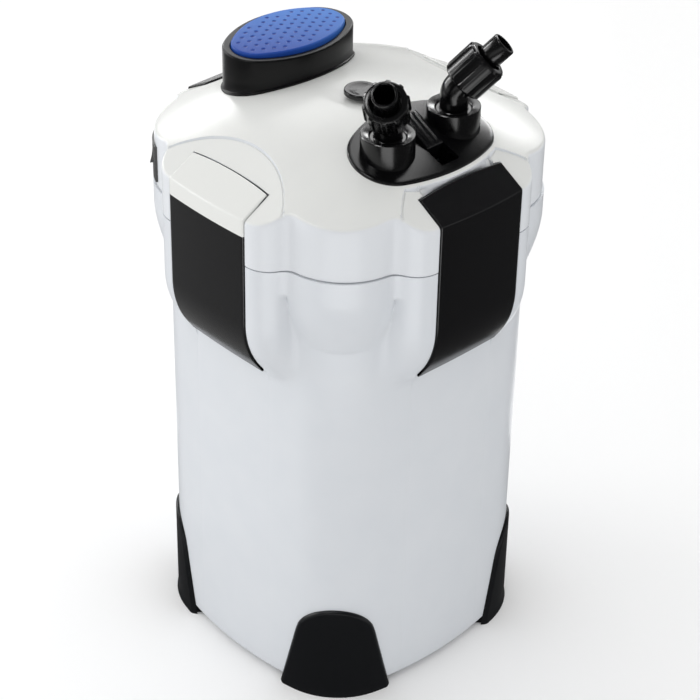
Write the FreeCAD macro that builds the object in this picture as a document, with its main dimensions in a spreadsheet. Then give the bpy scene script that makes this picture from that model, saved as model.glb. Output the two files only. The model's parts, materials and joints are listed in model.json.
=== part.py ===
import FreeCAD, Part
import math
import os
import re
import Sketcher
from FreeCAD import Placement, Rotation, Vector

# Canister filter for an aquarium: a white barrel on four corner feet, a domed pump head held down by
# four over-centre latches, an oval primer button, a quick-release valve block with two swivelling hose
# elbows, and the pump, lamp, pipe and media baskets inside. Millimetres. Z is up, the origin is on the
# floor under the middle of the barrel, and the latches face +X, -X, +Y and -Y.

doc = FreeCAD.newDocument("canister_filter")
sheet = doc.addObject("Spreadsheet::Sheet", "Sizes")

sizes = [
    # barrel
    ("side_half", 120, "barrel axis to the middle of a side"),
    ("side_bulge", 300, "radius of the bulged side"),
    ("corner_round", 60, "radius of a barrel corner"),
    ("barrel_wall", 3.5, "wall of the barrel"),
    ("barrel_floor", 4, "thickness of the barrel floor"),
    ("barrel_low", 6, "underside of the barrel"),
    ("seam_height", 400, "seam between barrel and head"),
    ("seam_gap", 1, "gap at the seam"),
    ("flare_drop", 70, "start of a corner's flare below the seam"),
    ("flare_end", 20, "end of that flare below the seam"),
    ("flare_start", 41.5, "radius of the flare at its foot"),
    ("flare_round", 52, "radius of the flared corner"),
    ("rib_height", 4, "floor ribs under the lowest basket"),
    ("rib_half", 1.5, "half thickness of a floor rib"),
    ("rib_inset", 24, "end of a floor rib, from the barrel side"),
    ("mouth_depth", 9.5, "depth of the stepped mouth"),
    ("mouth_wall", 1.7, "wall left outside the stepped mouth"),
    # feet
    ("foot_thick", 3, "foot outside the barrel wall"),
    ("foot_gap", 0.15, "gap between a foot and the barrel"),
    ("foot_high", 89, "height of a foot"),
    ("foot_round", 32, "radius of its arched top"),
    ("foot_lean", 11.25, "lean of its sides"),
    ("foot_inset", 24, "inner edge of the pad under the barrel, from its side"),
    # lobes behind the latches
    ("lobe_proud", 19.5, "lobe face beyond the barrel side"),
    ("lobe_root", 20, "how far a lobe is rooted inside the barrel's side"),
    ("lobe_margin", 2, "flat of a lobe beyond the latch handle"),
    ("lobe_round", 22, "radius of a lobe corner"),
    ("lobe_curve", 71, "radius of the curve under a lobe"),
    ("lobe_drop", 50, "start of that curve below the seam"),
    # head
    ("head_step", 1.2, "head side inside the barrel side"),
    ("head_round", 52, "radius of a head corner"),
    ("head_wall", 3, "wall of the head cover"),
    ("dome_rise", 77.5, "top of the dome above the seam"),
    ("dome_drop", 31.46, "fall of the dome from its top to the lobe faces"),
    ("facet_rise", 36.7, "facet above the seam, at the lobe face"),
    ("facet_angle", 29, "slope of a facet"),
    # latches
    ("latch_proud", 2.5, "latch face beyond the lobe face"),
    ("latch_half", 41, "half width of a latch handle"),
    ("latch_thick", 4.5, "thickness of a latch handle"),
    ("latch_gap", 0.7, "gap around a latch handle"),
    ("bend_rise", 0.7, "bend in a handle above the facet's edge"),
    ("bevel_length", 27.5, "length of the bevel above the bend"),
    ("latch_curve", 80, "radius of the curled lower end, inside"),
    ("tip_angle", 43.5, "angle swept by that end, outside"),
    ("pivot_in", 11, "hinge pin behind the handle's face"),
    ("pivot_drop", 3.4, "hinge pin below that bend"),
    ("pin_radius", 2, "radius of the latch pins"),
    ("pin_play", 0.08, "radial play of the latch pins"),
    ("swing_gap", 1.6, "room beyond the swinging end of the bevel"),
    ("link_in", 8, "hook pin inboard of the hinge pin"),
    ("link_half", 13, "half width of a hook"),
    ("link_thick", 3.6, "thickness of a hook"),
    ("web_half", 18, "middle of a handle web, from the middle plane"),
    ("web_thick", 4, "thickness of a handle web"),
    ("ledge_drop", 20, "middle of the ledge under which a hook grips, below the seam"),
    ("ledge_thick", 6, "thickness of that ledge"),
    ("ledge_depth", 4.5, "how far the ledge stands out"),
    ("grip_gap", 0.35, "gap between hook and ledge"),
    ("grip_depth", 5, "thickness of a hook's nose"),
    ("pocket_back", 1.5, "back of a hook's pocket beyond the barrel side"),
    ("pocket_side", 2, "room on each side of a hook in its pocket"),
    ("pocket_drop", 21, "bottom of that pocket, under the middle of the ledge"),
    ("eye_wall", 3, "wall round a handle's hook pin"),
    ("hook_wall", 2.2, "wall round a hook's bore"),
    ("link_drop", 1, "hook pin below the hinge pin"),
    ("pin_bearing", 4.8, "length of a hinge pin in each cheek of the cover"),
    # primer
    ("primer_inset", 51, "middle of the primer, from the barrel side"),
    ("collar_half_width", 37, "half width of the primer collar"),
    ("collar_half_length", 57, "half length of the primer collar"),
    ("collar_round", 27, "radius of its ends"),
    ("collar_wall", 6, "width of its rim"),
    ("collar_rise", 19.5, "top of the collar above the dome"),
    ("collar_sunk", 1, "floor inside the collar below the dome's top"),
    ("button_gap", 0.5, "gap around the button"),
    ("button_drop", 8, "lower edge of the button below the collar's top"),
    ("button_rise", 4.5, "crown of the button above the collar"),
    ("button_crown", 600, "radius of that crown"),
    ("button_wall", 3, "wall of the button"),
    ("primer_bore", 20, "radius of the primer cylinder"),
    ("piston_play", 0.08, "radial play of the piston"),
    ("rod_radius", 6, "radius of the primer rod"),
    ("spring_radius", 11, "radius of the primer spring"),
    ("spring_wire", 0.8, "radius of its wire"),
    ("foot_lip", 1.5, "foot of the collar beyond its wall"),
    ("foot_lip_high", 2, "height of that foot"),
    ("button_room", 5.5, "crown of the button above its hollow"),
    ("cylinder_high", 61.5, "primer cylinder above the head base"),
    ("cylinder_wall", 2.5, "its wall and floor"),
    ("piston_low", 51.5, "piston at rest, above the head base"),
    ("piston_thick", 8, "thickness of the piston"),
    ("flap_radius", 9, "radius of the primer's flap"),
    ("flap_thick", 1.4, "thickness of that flap"),
    ("flap_port", 5, "hole under the flap"),
    # valve block
    ("valve_inset", 44, "middle of the valve plate, from the barrel side"),
    ("plate_half_width", 37, "half width of the valve plate"),
    ("plate_half_length", 62, "half length of the valve plate"),
    ("plate_round", 31, "radius of its ends"),
    ("plate_proud", 1.8, "plate above the dome"),
    ("plate_sunk", 1.3, "plate sunk into the dome"),
    ("seat_gap", 0.3, "gap around the plate in its seat"),
    ("seat_lip", 3, "lip of the cover around the plate"),
    ("seat_deep", 0.2, "gap under the plate"),
    ("port_shift", 1, "ports inboard of the plate's middle"),
    ("port_y", 33, "port to the middle plane"),
    ("sleeve_radius", 20, "outside of a sleeve"),
    ("sleeve_rise", 5.5, "top of a sleeve above the dome"),
    ("socket_radius", 12.5, "bore that holds an elbow"),
    ("socket_depth", 21.5, "depth of that bore"),
    ("swivel_play", 0.08, "radial play of an elbow"),
    ("valve_web", 3.5, "web between a valve plug and the elbow's bore"),
    ("plug_radius", 12, "radius of a valve plug"),
    ("plug_play", 0.08, "radial play of a plug"),
    ("water_radius", 7.5, "water way through the valve"),
    ("housing_wall", 7, "wall beside a plug in the valve's housing"),
    ("housing_end", 15, "end of that housing beyond a port"),
    ("plug_end", 13, "end of a plug beyond its port"),
    ("plug_inner", 6, "inner end of a plug, from the lever"),
    ("core_radius", 5, "spindle between the plugs"),
    ("lever_sweep", 32, "room for the turned lever, beyond the ports"),
    ("spigot_radius", 12, "spigot under the valve block"),
    ("spigot_seal", 15, "O-ring of a spigot above the head base"),
    ("lever_half", 8, "half width of the lever"),
    ("lever_gap", 0.8, "gap beside the lever"),
    ("lever_rise", 5, "top of the lever above the dome"),
    ("lever_thick", 4, "thickness of the lever arm"),
    ("tab_radius", 13, "radius of the lever's thumb tab"),
    ("lever_reach", 63, "middle of that tab, from the ports"),
    # elbows and hose nuts
    ("elbow_radius", 10.5, "outside of an elbow"),
    ("elbow_rise", 13, "bend above the sleeve's top"),
    ("elbow_tilt", 44, "bend from the vertical"),
    ("elbow_swivel", 50, "elbow turned out from +X"),
    ("stub_radius", 9.3, "hose stub"),
    ("stub_end", 50, "end of the stub, from the bend"),
    ("nut_near", 6, "near end of the nut, from the bend"),
    ("nut_far", 34, "far end of the nut, from the bend"),
    ("nut_radius", 15.6, "nut at the foot of its ribs"),
    ("nut_rib", 1.5, "height of a nut rib"),
    # switch and cord exit
    ("switch_rise", 19, "middle of the switch above the seam"),
    ("switch_half_wide", 20, "half width of the switch plate"),
    ("switch_half_high", 15, "half height of the switch plate"),
    ("window_half_wide", 6.2, "half width of its window"),
    ("window_half_high", 9, "half height of its window"),
    ("gland_rise", 16, "cord exit above the seam"),
    ("gland_flange", 8, "radius of the cord gland's flange"),
    ("gland_gap", 1.93, "gap between that flange and a lobe"),
    ("gland_nose", 5.4, "radius of the gland's nose"),
    ("gland_bore", 2.6, "radius of the cord's hole"),
    ("gland_tail", 3.9, "radius of the gland inside the cover"),
    ("gland_thick", 2.5, "thickness of the gland's flange"),
    ("gland_long", 10, "nose of the gland beyond the cover"),
    ("switch_gap", 4.11, "gap between the gland and the switch, round the corner"),
    ("switch_proud", 1.6, "switch plate beyond the cover"),
    ("skin_gap", 0.1, "gap under a piece that lies on the cover"),
    ("rocker_gap", 0.4, "gap on each side of the rocker"),
    ("rocker_pin", 1.2, "radius of the rocker's axle"),
    ("rocker_in", 3.5, "that axle inside the cover's face"),
    # pump, lamp and pipe
    ("base_drop", 7.5, "underside of the head base below the seam"),
    ("base_thick", 4, "plate of the head base"),
    ("base_rim", 10, "width of its raised rim, from the barrel side"),
    ("base_gap", 0.3, "gap around the head base in the mouth"),
    ("skirt_gap", 0.5, "gap around the skirt in the barrel"),
    ("skirt_wall", 3.5, "thickness of the skirt"),
    ("screw_across", 40, "cover screw to the middle plane"),
    ("screw_inset", 25, "cover screw, from the barrel side"),
    ("screw_radius", 1.7, "radius of a cover screw"),
    ("screw_head", 4, "radius of a screw's head and of its boss"),
    ("screw_play", 0.1, "gap around a screw in its boss"),
    ("screw_high", 16, "tip of a screw above the head base"),
    ("port_high", 22, "port tubes above the head base"),
    ("port_wall", 3.5, "wall of a port tube"),
    ("port_play", 0.2, "gap around a spigot in its tube"),
    ("duct_wall", 3, "wall of the water ducts"),
    ("skirt_depth", 12.5, "skirt under the head base"),
    ("chamber_radius", 31, "inside of the pump chamber"),
    ("chamber_depth", 26.5, "pump chamber under the head base"),
    ("well_radius", 12, "inside of the rotor well"),
    ("chamber_wall", 3, "wall of the pump chamber and thickness of its cover"),
    ("well_high", 38, "rotor well above the head base"),
    ("well_wall", 1.5, "wall of the rotor well"),
    ("shaft_radius", 1.5, "ceramic shaft"),
    ("shaft_play", 0.06, "radial play on the shaft"),
    ("rotor_radius", 11.2, "rotor magnet"),
    ("rotor_gap", 3.5, "rotor below the top of its well"),
    ("hub_radius", 8, "impeller hub"),
    ("sleeve_core", 3.95, "impeller sleeve in the rotor"),
    ("impeller_clear", 3, "impeller above the pump cover"),
    ("blade_half", 1, "half thickness of a blade"),
    ("blade_gap", 5, "blade to the chamber's wall"),
    ("blade_drop", 6, "top of a blade under the head base"),
    ("bush_radius", 3, "lower bush of the shaft"),
    ("bush_fit", 0.02, "bore of a bush over the shaft"),
    ("eye_outer", 11, "suction eye of the pump cover"),
    ("eye_inner", 5, "hub in the middle of that eye"),
    ("motor_half", 36, "half width of the motor housing"),
    ("motor_front", 66, "front of the housing, from the shaft"),
    ("motor_back", 22, "back of the housing, from the shaft"),
    ("motor_high", 44, "height of the housing"),
    ("motor_wall", 2.5, "wall of the housing"),
    ("core_foot", 8, "underside of the motor core above the head base"),
    ("core_high", 24, "stack height of the motor core"),
    ("core_half", 28, "half width of the core"),
    ("core_front", 60, "front of the core, from the shaft"),
    ("leg_thick", 10, "thickness of a core leg, and half width of a pole"),
    ("pole_inner", 12, "pole face, from the shaft"),
    ("yoke_thick", 12, "thickness of the core's yoke"),
    ("core_gap", 2, "gap between the rotor well and the poles"),
    ("coil_thick", 4.5, "thickness of a winding beside its leg"),
    ("coil_over", 4, "height of a winding above and below its leg"),
    ("coil_gap", 0.3, "gap between a winding and its leg"),
    ("coil_front", 45, "front of a winding, from the shaft"),
    ("coil_back", 16, "back of a winding, from the shaft"),
    ("pipe_gap", 6.73, "gap between the intake pipe and the barrel's corner"),
    ("pipe_radius", 19, "outside of the intake pipe"),
    ("pipe_wall", 2.5, "wall of the intake pipe"),
    ("duct_depth", 18.5, "water ducts under the head base"),
    ("quartz_radius", 11.5, "outside of the quartz sleeve"),
    ("quartz_length", 231.5, "quartz sleeve under the head base's top"),
    ("quartz_wall", 1.7, "wall of the quartz sleeve"),
    ("quartz_flange", 2.5, "flange of the quartz sleeve beyond its tube"),
    ("lamp_radius", 4, "radius of a lamp tube"),
    ("lamp_apart", 4.8, "lamp tube to the middle of the lamp"),
    ("lamp_cap", 10.5, "radius of the lamp's cap"),
    ("holder_wall", 5.5, "lamp holder beyond the quartz tube"),
    ("holder_high", 28, "height of the lamp holder"),
    ("holder_gap", 0.3, "gap round the lamp's cap"),
    ("inlet_half", 5, "half width of an inlet slot of the pipe"),
    ("inlet_high", 20, "height of such a slot"),
    # baskets
    ("basket_gap", 3.5, "gap between basket and barrel wall"),
    ("media_gap", 0.8, "gap around the media in a basket"),
    ("media_drop", 6, "media below the rim of its basket"),
    ("slot_half", 3, "half width of a slot in a basket's floor"),
    ("slot_pitch", 20, "pitch of those slots"),
    ("slot_inset", 36, "end of a slot, from the barrel side"),
    ("lid_slot_half", 4, "half width of a slot in the lid"),
    ("lid_slot_pitch", 24, "pitch of the lid's slots"),
    ("lid_slot_inset", 42, "end of a lid slot, from the barrel side"),
    ("slot_web", 8, "web between a short slot and the cut corner"),
    ("basket_wall", 2, "wall of a basket"),
    ("lid_thick", 3, "thickness of the basket lid"),
    ("basket_clear", 9, "room between the basket lid and the pump chamber's edge"),
    ("notch_gap", 3.5, "gap between the pipe and the cut corner of a basket"),
]
for row, (alias, value, note) in enumerate(sizes, start=1):
    sheet.set(f"A{row}", "'" + note)
    sheet.set(f"B{row}", str(value))
    sheet.setAlias(f"B{row}", alias)
aliases = {alias for alias, value, note in sizes}
doc.recompute()

# Sizes that follow from the driving ones
derived = {
    "barrel_top": "seam_height - seam_gap / 2",
    "cover_low": "seam_height + seam_gap / 2",
    "mouth_low": "barrel_top - mouth_depth",
    "floor_top": "barrel_low + barrel_floor",
    "flare_low": "seam_height - flare_drop",
    "flare_high": "seam_height - flare_end",
    "foot_reach": "side_half - foot_inset",
    "foot_middle": "foot_high - foot_round",
    "foot_half_low": "foot_round / cos(foot_lean) + foot_middle * tan(foot_lean)",
    "lobe_half": "latch_half + lobe_margin",
    "lobe_bend": "seam_height - lobe_drop",
    "lobe_out": "side_half + lobe_proud",
    "lobe_core": "lobe_out - lobe_round",
    "curve_middle": "lobe_out - lobe_curve",
    "head_half": "side_half - head_step",
    "dome_top": "seam_height + dome_rise",
    "dome_radius": "(lobe_out^2 + dome_drop^2) / (2 * dome_drop)",
    "dome_middle": "dome_top - dome_radius",
    "facet_height": "seam_height + facet_rise",
    "latch_out": "lobe_out + latch_proud",
    "latch_in": "latch_out - latch_thick",
    "bend_height": "facet_height + bend_rise",
    "pivot_height": "bend_height - pivot_drop",
    "pivot_u": "latch_out - pivot_in",
    "link_u": "pivot_u - link_in",
    "link_height": "pivot_height - link_drop",
    "swing_radius": "sqrt((bevel_length * cos(facet_angle) - pivot_in)^2"
                    " + (pivot_drop + bevel_length * sin(facet_angle))^2) + swing_gap",
    "ledge_height": "seam_height - ledge_drop",
    "primer_x": "primer_inset - side_half",
    "collar_top": "dome_top + collar_rise",
    "collar_floor": "dome_top - collar_sunk",
    "button_low": "collar_top - button_drop",
    "button_top": "collar_top + button_rise",
    "button_hollow": "button_top - button_room",
    "valve_x": "side_half - valve_inset",
    "port_x": "valve_x - port_shift",
    "sleeve_top": "dome_top + sleeve_rise",
    "socket_low": "sleeve_top - socket_depth",
    "spindle_height": "socket_low - valve_web - plug_radius",
    "lever_top": "dome_top + lever_rise",
    "tab_x": "port_x - lever_reach",
    "elbow_bend": "sleeve_top + elbow_rise",
    "switch_height": "seam_height + switch_rise",
    "gland_height": "seam_height + gland_rise",
    "base_low": "seam_height - base_drop",
    "base_top": "base_low + base_thick",
    "skirt_low": "base_low - skirt_depth",
    "chamber_low": "base_low - chamber_depth",
    "well_top": "base_top + well_high",
    "duct_low": "base_low - duct_depth",
    "sharp_corner": "(side_half - side_bulge + sqrt(2 * side_bulge^2 - (side_bulge - side_half)^2)) / 2",
    "corner_reach": "sharp_corner * sqrt(2) - corner_round"
                    " * (1 / sin(45 + asin(sharp_corner / side_bulge) / 1 deg) - 1)",
    "pipe_xy": "(corner_reach - barrel_wall - pipe_gap - pipe_radius) / sqrt(2)",
    "quartz_low": "base_top - quartz_length",
    "head_core": "head_half - head_round",
    "basket_start": "floor_top + rib_height",
    "basket_high": "(chamber_low - basket_clear - lid_thick - basket_start) / 4",
    "notch": "pipe_xy - pipe_radius - notch_gap",
}

sides = {"right": 0, "back": 90, "left": 180, "front": 270}
corners = {"back_right": 45, "back_left": 135, "front_left": 225, "front_right": 315}
nodes = {}


def bound(text):
    """A formula with each derived size written out and the sheet's name before each driving one."""
    def written(word):
        if word[0] in derived:
            return f"({bound(derived[word[0]])})"
        return f"Sizes.{word[0]}" if word[0] in aliases else word[0]
    return re.sub(r"[a-z_]\w*", written, str(text))


def number(text):
    """The present value of a formula."""
    return float(sheet.evalExpression(bound(text)))


def bind(piece, path, text):
    piece.setExpression(path, bound(text))


def move(piece, x=0, y=0, z=0):
    for letter, text in zip("xyz", (x, y, z)):
        bind(piece, f"Placement.Base.{letter}", text)


def turn(piece, degrees, axis=Vector(0, 0, 1)):
    piece.Placement = Placement(piece.Placement.Base, Rotation(axis, degrees))
    return piece


def box(name, x, y, z):
    """A box between three pairs of limits."""
    piece = doc.addObject("Part::Box", name)
    for size, (low, high) in zip(("Length", "Width", "Height"), (x, y, z)):
        bind(piece, size, f"({high}) - ({low})")
    move(piece, x[0], y[0], z[0])
    return piece


def around(piece, degrees, x=0, y=0):
    """Carries a finished piece round the upright axis, and then to a place."""
    holder = doc.addObject("Part::Compound", piece.Name + "_turned")
    holder.Links = [piece]
    turn(holder, degrees)
    move(holder, x, y)
    return holder


def cylinder(name, radius, low, high, at=(0, 0), along="z"):
    """A cylinder between two heights along an axis, at the other two coordinates."""
    piece = doc.addObject("Part::Cylinder", name)
    bind(piece, "Radius", radius)
    bind(piece, "Height", f"({high}) - ({low})")
    if along == "x":
        turn(piece, 90, Vector(0, 1, 0))
        move(piece, low, *at)
    elif along == "y":
        turn(piece, -90, Vector(1, 0, 0))
        move(piece, at[0], low, at[1])
    else:
        move(piece, *at, low)
    return piece


def cone(name, radius_low, radius_high, low, high, at=(0, 0)):
    piece = doc.addObject("Part::Cone", name)
    bind(piece, "Radius1", radius_low)
    bind(piece, "Radius2", radius_high)
    bind(piece, "Height", f"({high}) - ({low})")
    move(piece, *at, low)
    return piece


def ball(name, radius, x, y, z):
    piece = doc.addObject("Part::Sphere", name)
    bind(piece, "Radius", radius)
    move(piece, x, y, z)
    return piece


def ring(name, radius, thickness, z, at=(0, 0)):
    """A round ring of round section."""
    piece = doc.addObject("Part::Torus", name)
    bind(piece, "Radius1", radius)
    bind(piece, "Radius2", thickness)
    move(piece, *at, z)
    return piece


def tube(name, outer, inner, low, high, at=(0, 0)):
    return cut(name, cylinder(name + "_outside", outer, low, high, at),
               cylinder(name + "_bore", inner, f"{low} - 1", f"{high} + 1", at))


def join(name, *pieces):
    piece = doc.addObject("Part::MultiFuse", name)
    piece.Shapes = list(pieces)
    return piece


def overlap(name, *pieces):
    piece = doc.addObject("Part::MultiCommon", name)
    piece.Shapes = list(pieces)
    return piece


def cut(name, base, *tools):
    piece = doc.addObject("Part::Cut", name)
    piece.Base = base
    piece.Tool = tools[0] if len(tools) == 1 else join(name + "_tools", *tools)
    return piece


def group(name, *pieces):
    """Separate solids that share one node."""
    piece = doc.addObject("Part::Compound", name)
    piece.Links = list(pieces)
    return piece


def keep(name, piece):
    """Makes a piece one of the nodes."""
    piece.Label = name
    nodes[name] = piece
    return piece


def sketch_on(body, plane, level=0):
    sketch = body.newObject("Sketcher::SketchObject", body.Name + "_sketch")
    face = next(part for part in body.Origin.OriginFeatures if part.Role == plane)
    sketch.AttachmentSupport = [(face, "")]
    sketch.MapMode = "FlatFace"
    bind(sketch, "AttachmentOffset.Base.z", level)
    return sketch


def pin_point(sketch, edge, end, x, y):
    """Holds one end or the middle of an edge at two formulas."""
    for kind, text in (("DistanceX", x), ("DistanceY", y)):
        index = sketch.addConstraint(Sketcher.Constraint(kind, -1, 1, edge, end, number(text)))
        sketch.setExpression(f"Constraints[{index}]", bound(text))


def hold_radius(sketch, edge, radius):
    index = sketch.addConstraint(Sketcher.Constraint("Radius", edge, number(radius)))
    sketch.setExpression(f"Constraints[{index}]", bound(radius))


def pad(body, sketch, length, both_ways=False):
    feature = body.newObject("PartDesign::Pad", body.Name + "_pad")
    feature.Profile = sketch
    bind(feature, "Length", length)
    if both_ways:
        feature.SideType = "Symmetric"
    doc.recompute()
    return feature


def round_off(body, feature, radius, chosen):
    """A fillet on the edges of a feature for which chosen is true."""
    names = [f"Edge{i}" for i, edge in enumerate(feature.Shape.Edges, start=1) if chosen(edge.BoundBox)]
    fillet = body.newObject("PartDesign::Fillet", body.Name + "_fillet")
    fillet.Base = (feature, names)
    bind(fillet, "Radius", radius)
    doc.recompute()
    return fillet


def upright(bounds):
    return bounds.ZLength > 1e-3 and bounds.XLength < 1e-3 and bounds.YLength < 1e-3


def arc_plan(name, middles, radius, angles, low, high, rounding):
    """A prism whose plan is a closed run of arcs of one radius, with its upright edges rounded."""
    body = doc.addObject("PartDesign::Body", name)
    sketch = sketch_on(body, "XY_Plane", low)
    for (x, y), (first, last) in zip(middles, angles):
        circle = Part.Circle(Vector(number(x), number(y), 0), Vector(0, 0, 1), number(radius))
        sketch.addGeometry(Part.ArcOfCircle(circle, first, last))
    count = len(middles)
    for i, (x, y) in enumerate(middles):
        sketch.addConstraint(Sketcher.Constraint("Coincident", i, 2, (i + 1) % count, 1))
    for i, (x, y) in enumerate(middles):
        pin_point(sketch, i, 3, x, y)
        hold_radius(sketch, i, radius)
    feature = pad(body, sketch, f"({high}) - ({low})")
    round_off(body, feature, rounding, upright)
    return body


def bulged_square(name, half, low, high, inset=0):
    """The barrel's plan, set in by a distance: four bulged sides and four round corners."""
    side = f"({half} - ({inset}))"
    radius = f"(side_bulge - ({inset}))"
    back = f"({radius} - {side})"
    offset, reach = number(back), number(radius)
    corner = (-offset + math.sqrt(2 * reach ** 2 - offset ** 2)) / 2
    spread = math.atan2(corner, corner + offset)
    middles = [(f"-{back}", 0), (0, f"-{back}"), (back, 0), (0, back)]
    angles = [(i * math.pi / 2 - spread, i * math.pi / 2 + spread) for i in range(4)]
    return arc_plan(name, middles, radius, angles, low, high, f"corner_round - ({inset})")


def oval(name, x, half_width, half_length, end_round, low, high):
    """An oval of two long arcs along Y whose ends are rounded."""
    radius = (f"((({half_width})^2 - ({end_round})^2 + (({half_length}) - ({end_round}))^2)"
              f" / (2 * (({half_width}) - ({end_round}))))")
    back = f"({radius} - ({half_width}))"
    spread = math.acos(number(back) / number(radius))
    middles = [(f"-{back}", 0), (back, 0)]
    angles = [(-spread, spread), (math.pi - spread, math.pi + spread)]
    body = arc_plan(name, middles, radius, angles, low, high, end_round)
    move(body, x)
    return body


def outline(name, plane, points, length, arcs=None, level=0, both_ways=False):
    """A prism on a plane. An edge in arcs is round, with the middle and the radius given there."""
    arcs = arcs or {}
    body = doc.addObject("PartDesign::Body", name)
    sketch = sketch_on(body, plane, level)
    places = [Vector(number(x), number(y), 0) for x, y in points]
    ends = []
    for i, start in enumerate(places):
        stop = places[(i + 1) % len(places)]
        if i not in arcs:
            sketch.addGeometry(Part.LineSegment(start, stop))
            ends.append((1, 2))
            continue
        x, y, radius = arcs[i]
        middle = Vector(number(x), number(y), 0)
        first = math.atan2(start.y - middle.y, start.x - middle.x)
        last = math.atan2(stop.y - middle.y, stop.x - middle.x)
        onward = (last - first) % (2 * math.pi) < math.pi
        circle = Part.Circle(middle, Vector(0, 0, 1), number(radius))
        sketch.addGeometry(Part.ArcOfCircle(circle, *((first, last) if onward else (last, first))))
        ends.append((1, 2) if onward else (2, 1))
    for i in range(len(points)):
        following = (i + 1) % len(points)
        sketch.addConstraint(Sketcher.Constraint("Coincident", i, ends[i][1], following,
                                                 ends[following][0]))
    for i, (x, y) in enumerate(points):
        pin_point(sketch, i, ends[i][0], x, y)
    for i, (x, y, radius) in arcs.items():
        hold_radius(sketch, i, radius)
    pad(body, sketch, length, both_ways)
    return body


def dome(name, inset=0):
    return ball(name, f"dome_radius - ({inset})", 0, 0, "dome_middle")


def lobe(name, low, high):
    """One lobe of head or barrel, towards +X."""
    block = box(name + "_block", ("side_half - lobe_root", "lobe_out"), ("-lobe_half", "lobe_half"),
                (low, high))
    root = box(name + "_root", ("side_half - lobe_root", "lobe_core"),
               ("-lobe_half - lobe_round", "lobe_half + lobe_round"),
               (low, high))
    ends = [cylinder(name + "_end", "lobe_round", low, high, ("lobe_core", side)) for side in ("-lobe_half",
                                                                                               "lobe_half")]
    return join(name, block, root, *ends)


def latch_recess(name):
    """Room for a handle and its hook in a lobe of the barrel, towards +X."""
    width = ("-latch_half - latch_gap", "latch_half + latch_gap")
    inner = "(latch_in - 2 * latch_gap)"
    front = box(name + "_front", (inner, "latch_out + 10"), width, ("lobe_bend", "barrel_top + 1"))
    below = box(name + "_below", ("side_half - lobe_root", "latch_out + 10"), width,
                ("lobe_bend - lobe_curve", "lobe_bend"))
    kept = cylinder(name + "_kept", "latch_curve - 2 * latch_gap", "-lobe_half - 1", "lobe_half + 1",
                    ("latch_in - latch_curve", "lobe_bend"), "y")
    pocket = box(name + "_pocket", ("side_half + pocket_back", "latch_out + 10"),
                 ("-link_half - pocket_side", "link_half + pocket_side"),
                 ("ledge_height - pocket_drop", "barrel_top + 1"))
    return join(name, front, cut(name + "_lower", below, kept), pocket)


def corner_places(across, along=None):
    """Four places, one in each quarter of the plan."""
    return [(f"{sx}{across}", f"{sy}{along or across}") for sx in ("", "-") for sy in ("", "-")]


def build_barrel():
    outside = bulged_square("barrel_outside", "side_half", "barrel_low", "barrel_top")
    pieces = [outside]
    for place in corner_places("(side_half - flare_round)"):
        pieces += [cone("barrel_flare", "flare_start", "flare_round", "flare_low", "flare_high", place),
                   cylinder("barrel_corner", "flare_round", "flare_high", "barrel_top", place)]
    for name, angle in sides.items():
        raw = lobe("barrel_lobe_" + name, "lobe_bend - lobe_curve", "barrel_top")
        limit = join("lobe_limit_" + name,
                     box("lobe_upper_" + name, (0, "lobe_out + 1"), ("-side_half", "side_half"),
                         ("lobe_bend", "barrel_top + 1")),
                     cylinder("lobe_lower_" + name, "lobe_curve", "-side_half", "side_half",
                              ("curve_middle", "lobe_bend"), "y"))
        boss = cut("barrel_boss_" + name, overlap("boss_block_" + name, raw, limit),
                   latch_recess("recess_" + name))
        pieces.append(around(boss, angle))
    cavity = bulged_square("barrel_cavity", "side_half", "floor_top", "barrel_top + 1", "barrel_wall")
    mouth = bulged_square("barrel_mouth", "side_half", "mouth_low", "barrel_top + 1", "mouth_wall")
    shell = cut("barrel_shell", join("barrel_solid", *pieces), cavity, mouth)
    rib_long = ("rib_inset - side_half", "side_half - rib_inset")
    rib_across = ("-rib_half", "rib_half")
    rib_high = ("floor_top - 0.5", "floor_top + rib_height")
    ribs = [box("floor_rib_x", rib_long, rib_across, rib_high),
            box("floor_rib_y", rib_across, rib_long, rib_high)]
    ledges = []
    for name, angle in sides.items():
        ledge = box("hook_ledge_" + name, ("side_half + pocket_back - 0.5",
                                           "side_half + pocket_back + ledge_depth"),
                    ("-link_half - pocket_side - 0.5", "link_half + pocket_side + 0.5"),
                    ("ledge_height - ledge_thick / 2", "ledge_height + ledge_thick / 2"))
        ledges.append(around(ledge, angle))
    keep("barrel", join("barrel_body", shell, *ribs, *ledges))


def build_feet():
    for name, angle in corners.items():
        outside = bulged_square("foot_outside", "side_half", 0, "foot_high", "-foot_thick")
        inside = bulged_square("foot_inside", "side_half", "barrel_low", "foot_high + 1", "-foot_gap")
        side, top = "foot_round * cos(foot_lean)", "foot_middle + foot_round * sin(foot_lean)"
        tongue = outline("foot_tongue", "YZ_Plane",
                         [("-foot_half_low", 0), ("foot_half_low", 0), (side, top), (f"-{side}", top)],
                         "side_half", {2: (0, "foot_middle", "foot_round")}, level="foot_reach")
        keep("foot_" + name, cut("foot", overlap("foot_block", outside, around(tongue, angle)), inside))


def facet(name, drop=0):
    """The space above a lobe's sloping facet, towards +X."""
    inward = "(side_half - chamber_radius)"
    piece = doc.addObject("Part::Box", name)
    bind(piece, "Length", f"{inward} + lobe_curve")
    bind(piece, "Width", "2 * side_half")
    bind(piece, "Height", "side_half")
    turn(piece, number("facet_angle"), Vector(0, 1, 0))
    bind(piece, "Placement.Rotation.Angle", "facet_angle")
    move(piece, f"lobe_out - {inward}", "-side_half",
         f"facet_height + {inward} * tan(facet_angle) - ({drop}) / cos(facet_angle)")
    return piece


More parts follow.
